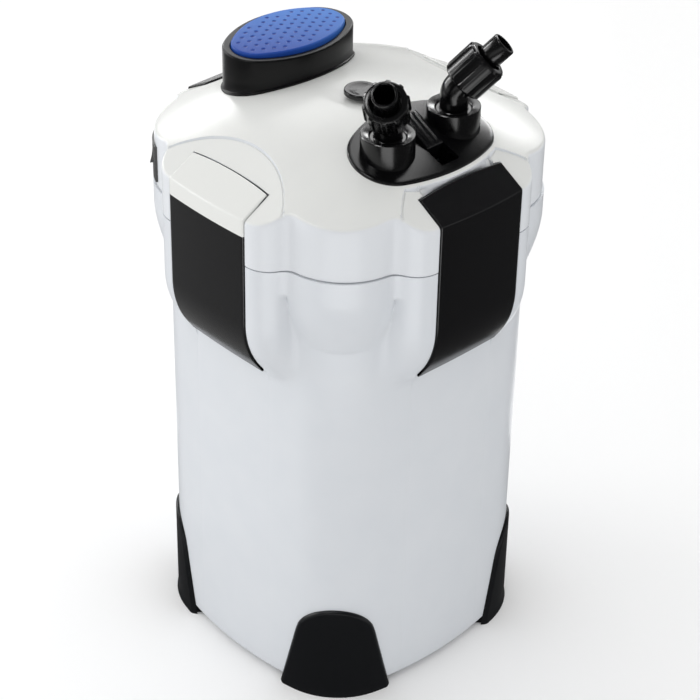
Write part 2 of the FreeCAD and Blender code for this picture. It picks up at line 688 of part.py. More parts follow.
def head_block(name, low, inset):
    """The head's plan as a prism, set in by a distance, without its lobes."""
    half = f"(head_half - {inset})"
    high = "dome_top + 5"
    bars = [box(name + "_bar_x", (f"-{half}", half), ("-head_core", "head_core"), (low, high)),
            box(name + "_bar_y", ("-head_core", "head_core"), (f"-{half}", half), (low, high))]
    ends = [cylinder(name + "_corner", f"head_round - {inset}", low, high, place)
            for place in corner_places("head_core")]
    return join(name, *bars, *ends)


def build_head_cover():
    high = "dome_top + 5"
    lobes = [around(lobe("cover_lobe_" + name, "cover_low", high), angle) for name, angle in sides.items()]
    pedestal = oval("valve_pedestal", "valve_x", "plate_half_width + seat_lip", "plate_half_length + seat_lip",
                    "plate_round + seat_lip", "cover_low", "dome_top + side_half")
    facets = [around(facet("cover_facet_" + name), angle) for name, angle in sides.items()]
    facets[0] = cut("cover_facet_beside_valve", facets[0], pedestal)
    outside = cut("cover_outside",
                  overlap("cover_domed", join("cover_plan", head_block("cover_block", "cover_low", "0"),
                                                             *lobes), dome("cover_dome")), *facets)
    inner_facets = [around(facet("cover_inner_facet_" + name, "head_wall"), angle)
                    for name, angle in sides.items()]
    inside = cut("cover_inside",
                 overlap("cover_cavity", head_block("cover_room", "cover_low - 1", "head_wall"),
                                         dome("cover_under", "head_wall")), *inner_facets)
    shell = cut("cover_shell", outside, inside)
    liner_width = ("-latch_half - latch_gap - head_wall", "latch_half + latch_gap + head_wall")
    liners = [around(box("pocket_liner_" + name, ("pivot_u - swing_radius - head_wall", "side_half"),
                         liner_width,
                       ("cover_low", high)), angle) for name, angle in sides.items()]
    screws = screw_places()
    bosses = [cylinder("screw_boss", "screw_head", "base_top", high, place) for place in screws]
    lining = overlap("cover_lining", join("cover_liners", *liners, *bosses), outside_with_stub())
    width = ("-latch_half - latch_gap", "latch_half + latch_gap")
    pockets = []
    for name, angle in sides.items():
        lower = box("pocket_" + name, ("pivot_u - swing_radius", "latch_out + 10"), width,
                    ("cover_low - 1", "pivot_height"))
        swing = cylinder("pocket_swing_" + name, "swing_radius", width[0], width[1],
                         ("pivot_u", "pivot_height"), "y")
        axle = cylinder("pocket_axle_" + name, "pin_radius + bush_fit", "-latch_half - pin_bearing - 0.2",
                        "latch_half + pin_bearing + 0.2", ("pivot_u", "pivot_height"), "y")
        pockets.append(around(join("latch_pocket_" + name, lower, swing, axle), angle))
    seat = cut("valve_seat", oval("valve_seat_plan", "valve_x", "plate_half_width + seat_gap",
                                  "plate_half_length + seat_gap", "plate_round", "cover_low", high),
               dome("valve_seat_floor", "plate_sunk + seat_deep"))
    around_block = "(plug_radius + housing_wall + 1.5)"
    openings = [box("valve_opening", (f"port_x - {around_block}", f"port_x + {around_block}"),
                    ("-port_y - housing_end - 2", "port_y + housing_end + 2"), ("cover_low", high)),
                box("lever_opening", ("port_x", "port_x + lever_sweep - 2.5"),
                    ("-lever_half - lever_gap", "lever_half + lever_gap"), ("cover_low", high))]
    rod = cylinder("rod_hole", "rod_radius + 2", "seam_height", high, ("primer_x", 0))
    screw_holes = [cylinder("screw_hole", "screw_radius + screw_play", "base_low",
                            "base_top + screw_high + 1", place)
                   for place in screws]
    keep("head_cover", cut("head_cover_body", join("cover_lined", shell, lining), *pockets, seat, *openings,
                           rod,
                           switch_opening(), gland_opening(), *screw_holes))


def outside_with_stub():
    """The head's outer form carried down to the head base, for what stands on that base."""
    stub = head_block("cover_stub", "base_top", "head_wall")
    lobes = [around(lobe("stub_lobe_" + name, "cover_low", "dome_top"), angle) for name,
             angle in sides.items()]
    facets = [around(facet("stub_facet_" + name), angle) for name, angle in sides.items()]
    return cut("cover_limit", overlap("cover_stub_domed", join("cover_stub_plan", stub, *lobes),
                                      dome("stub_dome")),
               *facets)


def screw_places():
    return corner_places("screw_across", "(side_half - screw_inset)")


def gland_turn():
    """Degrees from the left side round to the cord's exit, and how far it lies along that side instead."""
    past = number("lobe_half + lobe_round + gland_gap + gland_flange - head_core")
    return math.degrees(math.asin(max(past, 0) / number("head_round"))), max(-past, 0)


def at_switch(piece):
    """Moves a piece made along +X to the switch, beside the cord's exit on the front left corner."""
    half = [math.asin(number(f"{size} / head_round")) for size in ("gland_flange", "switch_half_wide")]
    angle = gland_turn()[0] + math.degrees(sum(half) + number("switch_gap / head_round"))
    return around(piece, 180 + angle, "-head_core", "-head_core")


def switch_opening():
    hole = box("switch_hole", ("head_round - 3 * head_wall", "head_round + 5"),
               ("-window_half_wide - 0.8", "window_half_wide + 0.8"),
               ("switch_height - window_half_high - 1", "switch_height + window_half_high + 1"))
    return at_switch(hole)


def gland_opening():
    hole = cylinder("gland_hole", "gland_tail + skin_gap", "head_round - 8", "head_round + 5",
                    (0, "gland_height"), "x")
    return at_gland(hole)


def at_gland(piece):
    """Moves a piece made along +X to the cord's exit, next to the left lobe on the head's outline."""
    angle, aside = gland_turn()
    return around(piece, 180 + angle, "-head_core", f"{aside} - head_core")


def build_switch():
    low, high = "switch_height - switch_half_high", "switch_height + switch_half_high"
    disc = cylinder("switch_face", "head_round + switch_proud", low, high)
    back = cylinder("switch_back", "head_round + skin_gap", f"{low} - 1", f"{high} + 1")
    frame = box("switch_frame", (0, "head_round + 5"), ("-switch_half_wide", "switch_half_wide"),
                (low, high))
    window = box("switch_window", (0, "head_round + 5"), ("-window_half_wide", "window_half_wide"),
                 ("switch_height - window_half_high", "switch_height + window_half_high"))
    plate = cut("switch_plate_body", overlap("switch_blank", disc, frame), back, window)
    keep("switch_plate", at_switch(plate))
    rocker = outline("rocker_body", "XZ_Plane",
                     [("head_round - 5", "switch_height - 5"), ("head_round + 3.6", "switch_height - 6.5"),
                      ("head_round + 2", "switch_height"), ("head_round + 1.2", "switch_height + 7"),
                      ("head_round - 5", "switch_height + 5")],
                     "2 * (window_half_wide - rocker_gap)", both_ways=True)
    axle = cylinder("rocker_axle", "rocker_pin", "-window_half_wide - 0.7", "window_half_wide + 0.7",
                    ("head_round - rocker_in", "switch_height"), "y")
    keep("switch_rocker", at_switch(join("switch_rocker_body", rocker, axle)))


def build_gland():
    at = (0, "gland_height")
    flange = cylinder("gland_flange", "gland_flange", "head_round + skin_gap",
                      "head_round + skin_gap + gland_thick",
                      at, "x")
    nose = cylinder("gland_nose", "gland_nose", "head_round + 2", "head_round + gland_long", at, "x")
    tail = cylinder("gland_tail", "gland_tail", "head_round - 7", "head_round + 1", at, "x")
    bore = cylinder("gland_bore", "gland_bore", "head_round - 8", "head_round + gland_long + 2", at, "x")
    keep("cord_gland", at_gland(cut("gland_body", join("gland_solid", flange, nose, tail), bore)))


def build_head_base():
    rim = bulged_square("base_rim", "side_half", "base_low", "cover_low", "mouth_wall + base_gap")
    plug = bulged_square("base_plug", "side_half", "skirt_low", "base_low", "barrel_wall + skirt_gap")
    chamber = cylinder("base_chamber", "chamber_radius + chamber_wall", "chamber_low", "base_low")
    well = cylinder("base_well", "well_radius + well_wall", "base_top", "well_top + 2")
    high, inner = ("duct_low", "base_top - 1"), ("duct_low + duct_wall", "base_low")
    outlet = ("-port_y - 14", "-port_y + 14")
    inlet = ("pipe_xy - pipe_radius", "pipe_xy + pipe_radius - 2")
    ducts = [box("outlet_duct", (0, "port_x + 16"), outlet, high),
             box("inlet_duct", inlet, ("port_y - 16", "pipe_xy"), high)]
    ports = [cylinder("port_tube", "spigot_radius + port_wall", "base_top", "base_top + port_high",
                      ("port_x", side))
             for side in ("port_y", "-port_y")]
    pipe_ring = cylinder("pipe_ring", "pipe_radius + 2.2", "duct_low - 8", "base_top - 1",
                         ("pipe_xy", "pipe_xy"))
    top_room = bulged_square("base_top_room", "side_half", "base_top", "cover_low + 1", "base_rim")
    skirt_room = bulged_square("base_skirt_room", "side_half", "skirt_low - 1", "base_low",
                               "barrel_wall + skirt_gap + skirt_wall")
    room = cylinder("chamber_room", "chamber_radius", "chamber_low - 1", "base_low")
    bore = cylinder("well_bore", "well_radius", "base_low - 1", "well_top")
    ways = [box("outlet_way", (5, "port_x + 16 - duct_wall"),
                (f"{outlet[0]} + duct_wall", f"{outlet[1]} - duct_wall"), inner),
            box("inlet_way", (f"{inlet[0]} + duct_wall", f"{inlet[1]} - duct_wall"),
                ("port_y - 16 + duct_wall", "pipe_xy"), inner)]
    port_bores = [cylinder("port_bore", "spigot_radius + port_play", "base_low - 1",
                           "base_top + port_high + 1",
                           ("port_x", side)) for side in ("port_y", "-port_y")]
    pipe_hole = cylinder("pipe_hole", "pipe_radius - pipe_wall", "duct_low - 1", "base_low",
                         ("pipe_xy", "pipe_xy"))
    pipe_socket = cylinder("pipe_socket", "pipe_radius + 0.2", "duct_low - 9", "duct_low",
                           ("pipe_xy", "pipe_xy"))
    lamp_hole = cylinder("lamp_hole", "quartz_radius + 0.4", "base_low - 1", "base_top + 1",
                         ("pipe_xy", "pipe_xy"))
    screw_holes = [cylinder("base_screw_hole", "screw_radius + 2 * screw_play", "base_low - 1",
                            "base_top + 1", place) for place in screw_places()]
    plate = cut("base_plate", join("base_disc", rim, plug), top_room, skirt_room)
    solid = join("base_solid", plate, chamber, well, *ducts, *ports, pipe_ring)
    keep("head_base", cut("head_base_body", solid, room, bore, *ways, *port_bores, pipe_hole, pipe_socket,
                          lamp_hole,
                          *screw_holes))
    seal_outer = bulged_square("seal_outer", "side_half", "mouth_low", "base_low - 0.1", "mouth_wall + 0.2")
    seal_inner = bulged_square("seal_inner", "side_half", "mouth_low - 1", "base_low + 1",
                               "barrel_wall + 0.2")
    keep("head_seal", cut("head_seal_ring", seal_outer, seal_inner))
    screws = [join("cover_screw", cylinder("screw_head", "screw_head", "base_low - 3", "base_low - 0.05",
                                           place),
                   cylinder("screw_shank", "screw_radius", "base_low - 1", "base_top + screw_high", place))
              for place in screw_places()]
    keep("cover_screws", group("cover_screw_set", *screws))


def handle_profile():
    """The handle's section in the plane of u and height: bevel, straight face and curled lower end."""
    outer = "(latch_out - curve_middle)"
    drop = f"({outer} * sin(tip_angle))"
    inner_middle = "(latch_in - latch_curve)"
    over = "(bevel_length * cos(facet_angle))"
    rise = "(bevel_length * sin(facet_angle))"
    under_x = "(latch_thick * sin(facet_angle))"
    under_z = "(latch_thick * cos(facet_angle))"
    knee = "(latch_thick * (1 - sin(facet_angle)) / cos(facet_angle))"
    points = [
        (f"latch_out - {over}", f"bend_height + {rise}"),
        (f"latch_out - {over} - {under_x}", f"bend_height + {rise} - {under_z}"),
        ("latch_in", f"bend_height - {knee}"),
        ("latch_in", "lobe_bend"),
        (f"{inner_middle} + sqrt(latch_curve^2 - ({drop} - 1)^2)", f"lobe_bend - {drop} + 1"),
        (f"curve_middle + {outer} * cos(tip_angle)", f"lobe_bend - {drop}"),
        ("latch_out", "lobe_bend"),
        ("latch_out", "bend_height"),
    ]
    arcs = {3: (inner_middle, "lobe_bend", "latch_curve"), 5: ("curve_middle", "lobe_bend", outer)}
    return points, arcs


def build_latches():
    points, arcs = handle_profile()
    pins = []
    for name, angle in sides.items():
        plate = outline("handle_plate_" + name, "XZ_Plane", points, "2 * latch_half", arcs, both_ways=True)
        webs = []
        for side in ("-", ""):
            near, far = (f"{side}(web_half + web_thick / 2)", f"{side}(web_half - web_thick / 2)")
            low, high = (near, far) if side else (far, near)
            arm = box("handle_web_" + name, ("link_u", "latch_in + 1"), (low, high),
                      ("pivot_height - pin_radius - eye_wall", "pivot_height + pin_radius + eye_wall / 2"))
            eye = cylinder("handle_eye_" + name, "pin_radius + eye_wall", low, high,
                           ("link_u", "link_height"), "y")
            webs += [arm, eye]
        axle = cylinder("hook_axle_" + name, "pin_radius", "-web_half", "web_half",
                        ("link_u", "link_height"), "y")
        hole = cylinder("handle_hole_" + name, "pin_radius + pin_play", "-latch_half", "latch_half",
                        ("pivot_u", "pivot_height"), "y")
        handle = cut("latch_handle_body_" + name, join("handle_solid_" + name, plate, *webs, axle), hole)
        keep("latch_handle_" + name, around(handle, angle))
        pin = cylinder("latch_pin_" + name, "pin_radius", "-latch_half - pin_bearing",
                       "latch_half + pin_bearing",
                       ("pivot_u", "pivot_height"), "y")
        pins.append(around(pin, angle))
        shank = "(side_half + pocket_back + ledge_depth + grip_gap)"
        nose_top = "(ledge_height - ledge_thick / 2 - grip_gap)"
        hook = outline("hook_plate_" + name, "XZ_Plane",
                       [("link_u - pin_radius - hook_wall", "link_height"),
                        (shank, "ledge_height + 30"), (shank, nose_top),
                        ("side_half + pocket_back + 1", nose_top),
                        ("side_half + pocket_back + 1", f"{nose_top} - grip_depth"),
                        (f"{shank} + link_thick", f"{nose_top} - grip_depth"),
                        (f"{shank} + link_thick", "ledge_height + 32"),
                        ("link_u + pin_radius + hook_wall", "link_height")], "2 * link_half",
                       both_ways=True)
        eye = cylinder("hook_eye_" + name, "pin_radius + hook_wall", "-link_half", "link_half",
                       ("link_u", "link_height"), "y")
        bore = cylinder("hook_bore_" + name, "pin_radius + pin_play", "-link_half - 1", "link_half + 1",
                        ("link_u", "link_height"), "y")
        body = cut("latch_hook_body_" + name, join("hook_solid_" + name, hook, eye), bore)
        keep("latch_hook_" + name, around(body, angle))
    keep("latch_pins", group("latch_pin_set", *pins))


def build_primer():
    low = "(dome_top - 20)"
    block = oval("collar_block", "primer_x", "collar_half_width", "collar_half_length", "collar_round", low,
                 "collar_top")
    flange = overlap("collar_flange", oval("collar_foot", "primer_x", "collar_half_width + foot_lip",
                                           "collar_half_length + foot_lip", "collar_round + foot_lip", low,
                                           "collar_top"), dome("collar_foot_top", "-foot_lip_high"))
    well = oval("collar_well", "primer_x", "collar_half_width - collar_wall",
                "collar_half_length - collar_wall",
                "collar_round - collar_wall", "collar_floor", "collar_top + 1")
    rod_hole = cylinder("collar_hole", "rod_radius + 1", low, "collar_top", ("primer_x", 0))
    keep("primer_collar", cut("collar_body", join("collar_solid", block, flange),
                              dome("collar_seat", "-0.05"), well,
                              rod_hole))
    slim = "(collar_wall + button_gap)"
    cap = oval("button_block", "primer_x", f"collar_half_width - {slim}", f"collar_half_length - {slim}",
               f"collar_round - {slim}", "button_low", "button_top + 1")
    crown = ball("button_crown_ball", "button_crown", "primer_x", 0, "button_top - button_crown")
    hollow = oval("button_hollow", "primer_x", f"collar_half_width - {slim} - button_wall",
                  f"collar_half_length - {slim} - button_wall", f"collar_round - {slim} - button_wall",
                  "button_low - 1", "button_hollow")
    keep("primer_button", cut("button_body", overlap("button_solid", cap, crown), hollow))
    place = ("primer_x", 0)
    piston_low = "(base_top + piston_low)"
    rod = cylinder("primer_rod", "rod_radius", f"{piston_low} + 0.5", "button_hollow", place)
    piston = cylinder("primer_piston", "primer_bore - piston_play", piston_low,
                      f"{piston_low} + piston_thick", place)
    keep("primer_plunger", join("plunger_body", rod, piston))
    can = cylinder("primer_can", "primer_bore + cylinder_wall", "base_top", "base_top + cylinder_high",
                   place)
    bore = cylinder("primer_can_bore", "primer_bore", "base_top + cylinder_wall",
                    "base_top + cylinder_high + 1", place)
    port = cylinder("primer_port", "flap_port", "base_top - 1", "base_top + cylinder_wall + 1", place)
    keep("primer_cylinder", cut("primer_cylinder_body", can, bore, port))
    flap_low = "base_top + cylinder_wall + skin_gap"
    keep("primer_valve", cylinder("primer_flap", "flap_radius", flap_low, f"{flap_low} + flap_thick",
                                  place))
    spring_low = "(collar_floor + spring_wire + 0.1)"
    spring_high = "(button_hollow - spring_wire - 0.1)"
    coil = doc.addObject("Part::Helix", "spring_path")
    bind(coil, "Radius", "spring_radius")
    bind(coil, "Pitch", f"({spring_high} - {spring_low}) / 4")
    bind(coil, "Height", f"{spring_high} - {spring_low}")
    move(coil, "primer_x", 0, spring_low)
    wire = doc.addObject("Part::Circle", "spring_section")
    bind(wire, "Radius", "spring_wire")
    turn(wire, 90, Vector(1, 0, 0))
    move(wire, "primer_x + spring_radius", 0, spring_low)
    spring = doc.addObject("Part::Sweep", "spring_sweep")
    spring.Sections = [wire]
    spring.Spine = (coil, ["Edge1"])
    spring.Solid = True
    spring.Frenet = True
    keep("primer_spring", spring)


def build_valve():
    high = "dome_top + 20"
    plate = overlap("plate_blank", oval("plate_plan", "valve_x", "plate_half_width", "plate_half_length",
                                        "plate_round",
                                        "seam_height", high), dome("plate_top", "-plate_proud"))
    sleeves = [cylinder("valve_sleeve", "sleeve_radius", "seam_height + 30", "sleeve_top", ("port_x", side))
               for side in ("port_y", "-port_y")]
    upper = cut("valve_upper", join("valve_upper_solid", plate, *sleeves),
                dome("plate_under", "plate_sunk"))
    block_low = "(spindle_height - plug_radius - 3)"
    beside = "(plug_radius + housing_wall)"
    housing = box("valve_housing_box", (f"port_x - {beside}", f"port_x + {beside}"),
                  ("-port_y - housing_end", "port_y + housing_end"), (block_low, high))
    block = overlap("valve_housing", housing, dome("valve_housing_top"))
    spigots = [cylinder("valve_spigot", "spigot_radius", "base_top + 10", f"{block_low} + 1",
                        ("port_x", side))
               for side in ("port_y", "-port_y")]
    cuts = [cylinder("spindle_bore", "plug_radius + plug_play", "-port_y - plug_end - 0.5",
                     "port_y + plug_end + 0.5",
                     ("port_x", "spindle_height"), "y"),
            box("lever_slot", ("port_x - 15", "port_x + lever_sweep"),
                ("-lever_half - lever_gap", "lever_half + lever_gap"),
                (f"{block_low} - 1", high))]
    for side in ("port_y", "-port_y"):
        at = ("port_x", side)
        cuts += [cylinder("water_way", "water_radius", "seam_height", "sleeve_top", at),
                 cylinder("elbow_socket", "socket_radius", "socket_low", "sleeve_top", at),
                 cone("sleeve_funnel", "socket_radius", "sleeve_radius - 1.2", "sleeve_top - 7",
                      "sleeve_top + 0.01", at),
                 ring("spigot_groove", "spigot_radius - 0.8", 1.05, "base_top + spigot_seal", at)]
    keep("valve_block", cut("valve_block_body", join("valve_solid", upper, block, *spigots), *cuts))
    plugs = [cylinder("valve_plug", "plug_radius", low, high_y, ("port_x", "spindle_height"), "y")
             for low, high_y in (("-port_y - plug_end", "-lever_half - plug_inner"),
                                ("lever_half + plug_inner", "port_y + plug_end"))]
    core = cylinder("spindle_core", "core_radius", "-port_y", "port_y", ("port_x", "spindle_height"), "y")
    ways = [cylinder("plug_way", "water_radius", "spindle_height - 20", "spindle_height + 20",
                     ("port_x", side))
            for side in ("port_y", "-port_y")]
    keep("valve_spindle", cut("spindle_body", join("spindle_solid", *plugs, core), *ways))
    arm_low = "(lever_top - lever_thick)"
    side_view = outline("lever_arm", "XZ_Plane",
                        [("port_x - 9", "spindle_height"), ("port_x + 9", "spindle_height"),
                         ("port_x + 13", "spindle_height + 16"), ("port_x + 16", "spindle_height + 22"),
                         ("port_x - 13", "lever_top"), ("tab_x", "lever_top"), ("tab_x", arm_low),
                         ("port_x - 16", arm_low), ("port_x - 11", "spindle_height + 20")],
                        "2 * lever_half", both_ways=True)
    hub = cylinder("lever_hub", 9, "-lever_half", "lever_half", ("port_x", "spindle_height"), "y")
    tab = cylinder("lever_tab", "tab_radius", arm_low, "lever_top", ("tab_x", 0))
    keep("valve_lever", cut("lever_body", join("lever_solid", side_view, hub, tab),
                            cylinder("lever_bore", "core_radius + 0.05", "-lever_half - 1",
                                     "lever_half + 1",
                                     ("port_x", "spindle_height"), "y")))
    keep("port_seals",
         group("port_seal_set", *[ring("port_seal", "spigot_radius - 0.8", 0.95, "base_top + spigot_seal",
                                                     ("port_x", side)) for side in ("port_y", "-port_y")]))


def tilted(name, radius, near, far):
    """A cylinder along an elbow's leaning arm, which leans towards +X."""
    piece = doc.addObject("Part::Cylinder", name)
    bind(piece, "Radius", radius)
    bind(piece, "Height", f"({far}) - ({near})")
    turn(piece, number("elbow_tilt"), Vector(0, 1, 0))
    bind(piece, "Placement.Rotation.Angle", "elbow_tilt")
    move(piece, f"({near}) * sin(elbow_tilt)", 0, f"elbow_bend + ({near}) * cos(elbow_tilt)")
    return piece


def at_port(piece, sign):
    """Moves a piece made on the Z axis to a port and swivels it outwards."""
    holder = around(piece, 0, "port_x", f"{sign} * port_y")
    turn(holder, number("elbow_swivel"), Vector(0, 0, sign))
    bind(holder, "Placement.Rotation.Angle", "elbow_swivel")
    return holder


def build_elbows():
    for name, sign in (("intake", 1), ("outlet", -1)):
        foot = cylinder("elbow_foot", "socket_radius - swivel_play", "socket_low + 0.3", "sleeve_top - 7.5")
        neck = cylinder("elbow_neck", "elbow_radius", "socket_low + 1", "elbow_bend")
        collar = cylinder("elbow_collar", "socket_radius + 0.9", "sleeve_top - 4.8", "sleeve_top - 2.8")
        knee = ball("elbow_knee", "elbow_radius", 0, 0, "elbow_bend")
        arm = tilted("elbow_arm", "elbow_radius", 0, "nut_near + 14")
        waist = tilted("elbow_waist", "stub_radius - 0.4", 0, "stub_end")
        stub = tilted("elbow_stub", "stub_radius", "nut_far", "stub_end")
        bores = [cylinder("elbow_bore", "water_radius", "socket_low", "elbow_bend"),
                 ball("elbow_bore_knee", "water_radius", 0, 0, "elbow_bend"),
                 tilted("elbow_bore_arm", "water_radius", 0, "stub_end + 1"),
                 ring("elbow_groove", "socket_radius - 1.1", 1.1, "socket_low + 5")]
        solid = join("elbow_solid", foot, neck, collar, knee, arm, waist, stub)
        elbow = cut("elbow_body_" + name, solid, *bores)
        keep("elbow_" + name, at_port(elbow, sign))
        seal = ring("elbow_ring_" + name, "socket_radius - 1.15", 1, "socket_low + 5")
        keep("elbow_seal_" + name, at_port(seal, sign))
        shell = tilted("nut_shell", "nut_radius", "nut_near", "nut_far")
        ribs = []
        count = 10
        for i in range(count):
            rib = box("nut_rib", ("nut_radius - 2", "nut_radius + nut_rib"), (-1.6, 1.6),
                      ("nut_near + 1", "nut_far - 1"))
            ribs.append(around(rib, 360 * i / count))
        cage = group("nut_ribs", *ribs)
        turn(cage, number("elbow_tilt"), Vector(0, 1, 0))
        bind(cage, "Placement.Rotation.Angle", "elbow_tilt")
        move(cage, 0, 0, "elbow_bend")
        thread = tilted("nut_bore", "elbow_radius + 0.1", "nut_near - 1", "nut_near + 15")
        mouth = tilted("nut_mouth", "stub_radius + 2", "nut_near + 14", "nut_far + 1")
        nut = cut("hose_nut_body_" + name, join("nut_solid", shell, cage), thread, mouth)
        keep("hose_nut_" + name, at_port(nut, sign))


def build_pump():
    inner = "(motor_half - motor_wall)"
    outside = box("motor_box", ("-motor_half", "motor_half"), ("-motor_front", "motor_back"),
                  ("base_top", "base_top + motor_high"))
    inside = box("motor_room", (f"-{inner}", inner), ("motor_wall - motor_front",
                                                      "motor_back - motor_wall"),
                 ("base_top - 1", "base_top + motor_high - motor_wall"))
    keep("motor_housing", cut("motor_housing_body", outside, inside))
    low, high = "(base_top + core_foot)", "(base_top + core_foot + core_high)"
    core, coils = [], []
    for sign in ("-", ""):
        for name, near, along in (("core_leg", "(core_half - leg_thick)", ("-core_front", "leg_thick")),
                                  ("core_pole", "pole_inner", ("-leg_thick", "leg_thick"))):
            across = sorted((f"{sign}{near}", f"{sign}core_half"), key=number)
            core.append(box(name, across, along, (low, high)))
        middle = f"{sign}(core_half - leg_thick / 2)"
        inner = "(leg_thick / 2 + coil_gap)"
        winding = box("coil_outside", (f"{middle} - {inner} - coil_thick",
                                       f"{middle} + {inner} + coil_thick"),
                      ("-coil_front", "-coil_back"), (f"{low} - coil_over", f"{high} + coil_over"))
        hollow = box("coil_inside", (f"{middle} - {inner}", f"{middle} + {inner}"),
                     ("-coil_front - 1", "1 - coil_back"), (f"{low} - coil_gap", f"{high} + coil_gap"))
        coils.append(cut("motor_coil", winding, hollow))
    core.append(box("core_yoke", ("-core_half", "core_half"), ("-core_front", "yoke_thick - core_front"),
                    (low, high)))
    room = cylinder("core_room", "well_radius + core_gap", low, high)
    keep("motor_core", cut("motor_core_body", join("core_solid", *core), room))
    keep("motor_coils", group("motor_coil_set", *coils))
    impeller_low, rotor_top = "chamber_low + impeller_clear", "well_top - rotor_gap"
    keep("rotor_magnet", tube("rotor_magnet_body", "rotor_radius", "sleeve_core + 0.05", "base_top + 0.5",
                              rotor_top))
    hub = cylinder("impeller_hub", "hub_radius", impeller_low, "base_top + 0.5")
    sleeve = cylinder("impeller_sleeve", "sleeve_core", impeller_low, rotor_top)
    blades = [around(box("impeller_blade", ("hub_radius - 3", "chamber_radius - blade_gap"),
                         ("-blade_half", "blade_half"), (impeller_low, "base_low - blade_drop")), 60 * i)
              for i in range(6)]
    bore = cylinder("impeller_bore", "shaft_radius + shaft_play", "chamber_low", "well_top")
    keep("impeller", cut("impeller_body", join("impeller_solid", hub, sleeve, *blades), bore))
    keep("impeller_shaft", cylinder("shaft_body", "shaft_radius", "chamber_low - 2.5", "well_top - 0.1"))
    cover_low = "(chamber_low - chamber_wall)"
    bore = "shaft_radius + bush_fit"
    bushes = [tube("upper_bush", "well_radius - 0.2", bore, "well_top - 2.5", "well_top"),
              tube("lower_bush", "bush_radius", bore, cover_low, "chamber_low + 1")]
    keep("shaft_bushes", group("shaft_bush_set", *bushes))
    disc = cylinder("pump_cover_disc", "chamber_radius + chamber_wall", cover_low, "chamber_low")
    eye = tube("pump_cover_eye", "eye_outer", "eye_inner", f"{cover_low} - 1", "chamber_low + 1")
    arms = [around(box("pump_cover_arm", ("eye_inner - 1", "eye_outer + 1"), ("-blade_half", "blade_half"),
                       (cover_low, "chamber_low")), 120 * i) for i in range(3)]
    lower_hole = cylinder("pump_cover_bore", "bush_radius + 0.05", f"{cover_low} - 1", "chamber_low + 2")
    keep("impeller_cover", cut("impeller_cover_body",
                               join("pump_cover_solid", cut("pump_cover_ring", disc, eye), *arms),
                               lower_hole))


def build_lamp():
    place = ("pipe_xy", "pipe_xy")
    shell = cylinder("quartz_outside", "quartz_radius", "quartz_low", "base_top + 0.05", place)
    end = ball("quartz_end", "quartz_radius", "pipe_xy", "pipe_xy", "quartz_low")
    flange = cylinder("quartz_flange", "quartz_radius + quartz_flange", "base_top + 0.05", "base_top + 3",
                      place)
    room = cylinder("quartz_room", "quartz_radius - quartz_wall", "quartz_low", "base_top + 4", place)
    room_end = ball("quartz_room_end", "quartz_radius - quartz_wall", "pipe_xy", "pipe_xy", "quartz_low")
    keep("quartz_sleeve", cut("quartz_body", join("quartz_solid", shell, end, flange), room, room_end))
    tubes = [cylinder("lamp_tube", "lamp_radius", "quartz_low + 8", "base_top + 5",
                      (f"pipe_xy {side}", "pipe_xy"))
             for side in ("- lamp_apart", "+ lamp_apart")]
    bridge = box("lamp_bridge", ("pipe_xy - lamp_apart", "pipe_xy + lamp_apart"),
                 ("pipe_xy - 2", "pipe_xy + 2"),
                 ("quartz_low + 10", "quartz_low + 14"))
    cap = cylinder("lamp_cap", "lamp_cap", "base_top + 4", "base_top + 22", place)
    keep("uv_lamp", join("uv_lamp_body", *tubes, bridge, cap))
    block = cylinder("lamp_holder_block", "quartz_radius + holder_wall", "base_top",
                     "base_top + holder_high", place)
    seat = cylinder("lamp_holder_seat", "quartz_radius + quartz_flange + 0.2", "base_top - 1",
                    "base_top + 3 + holder_gap", place)
    socket = cylinder("lamp_holder_socket", "lamp_cap + holder_gap", "base_top + 3",
                      "base_top + 22 + holder_gap",
                      place)
    keep("lamp_holder", cut("lamp_holder_body", block, seat, socket))
    pipe = tube("pipe_body", "pipe_radius", "pipe_radius - pipe_wall", "floor_top + 0.5", "duct_low - 0.1",
                place)
    through = ("pipe_xy - pipe_radius - 6", "pipe_xy + pipe_radius + 6")
    across = ("pipe_xy - inlet_half", "pipe_xy + inlet_half")
    slots = [box("pipe_slot", x, y, ("floor_top - 1", "floor_top + inlet_high"))
             for x, y in ((through, across), (across, through))]
    keep("intake_pipe", cut("intake_pipe_body", pipe, *slots))


def notched(name, low, high, inset, extra):
    """The baskets' plan, set in, with the pipe's corner cut away."""
    block = bulged_square(name + "_plan", "side_half", low, high, inset)
    corner = box(name + "_notch", (f"notch - ({extra})", "side_half"), (f"notch - ({extra})", "side_half"),
                 (f"{low} - 1", f"{high} + 1"))
    return cut(name, block, corner)


def slot_row(name, count, pitch, half, inset, heights):
    """Slots along Y on both sides of the middle, shorter where the pipe's corner is cut away."""
    slots = []
    for k in range(-count, count + 1):
        middle = f"{k} * {pitch}"
        clear = number(f"{middle} + {half} + slot_web") < number("notch")
        slots.append(box(name, (f"{middle} - {half}", f"{middle} + {half}"),
                         (f"{inset} - side_half", f"side_half - {inset}" if clear else "notch - slot_web"),
                         heights))
    return slots


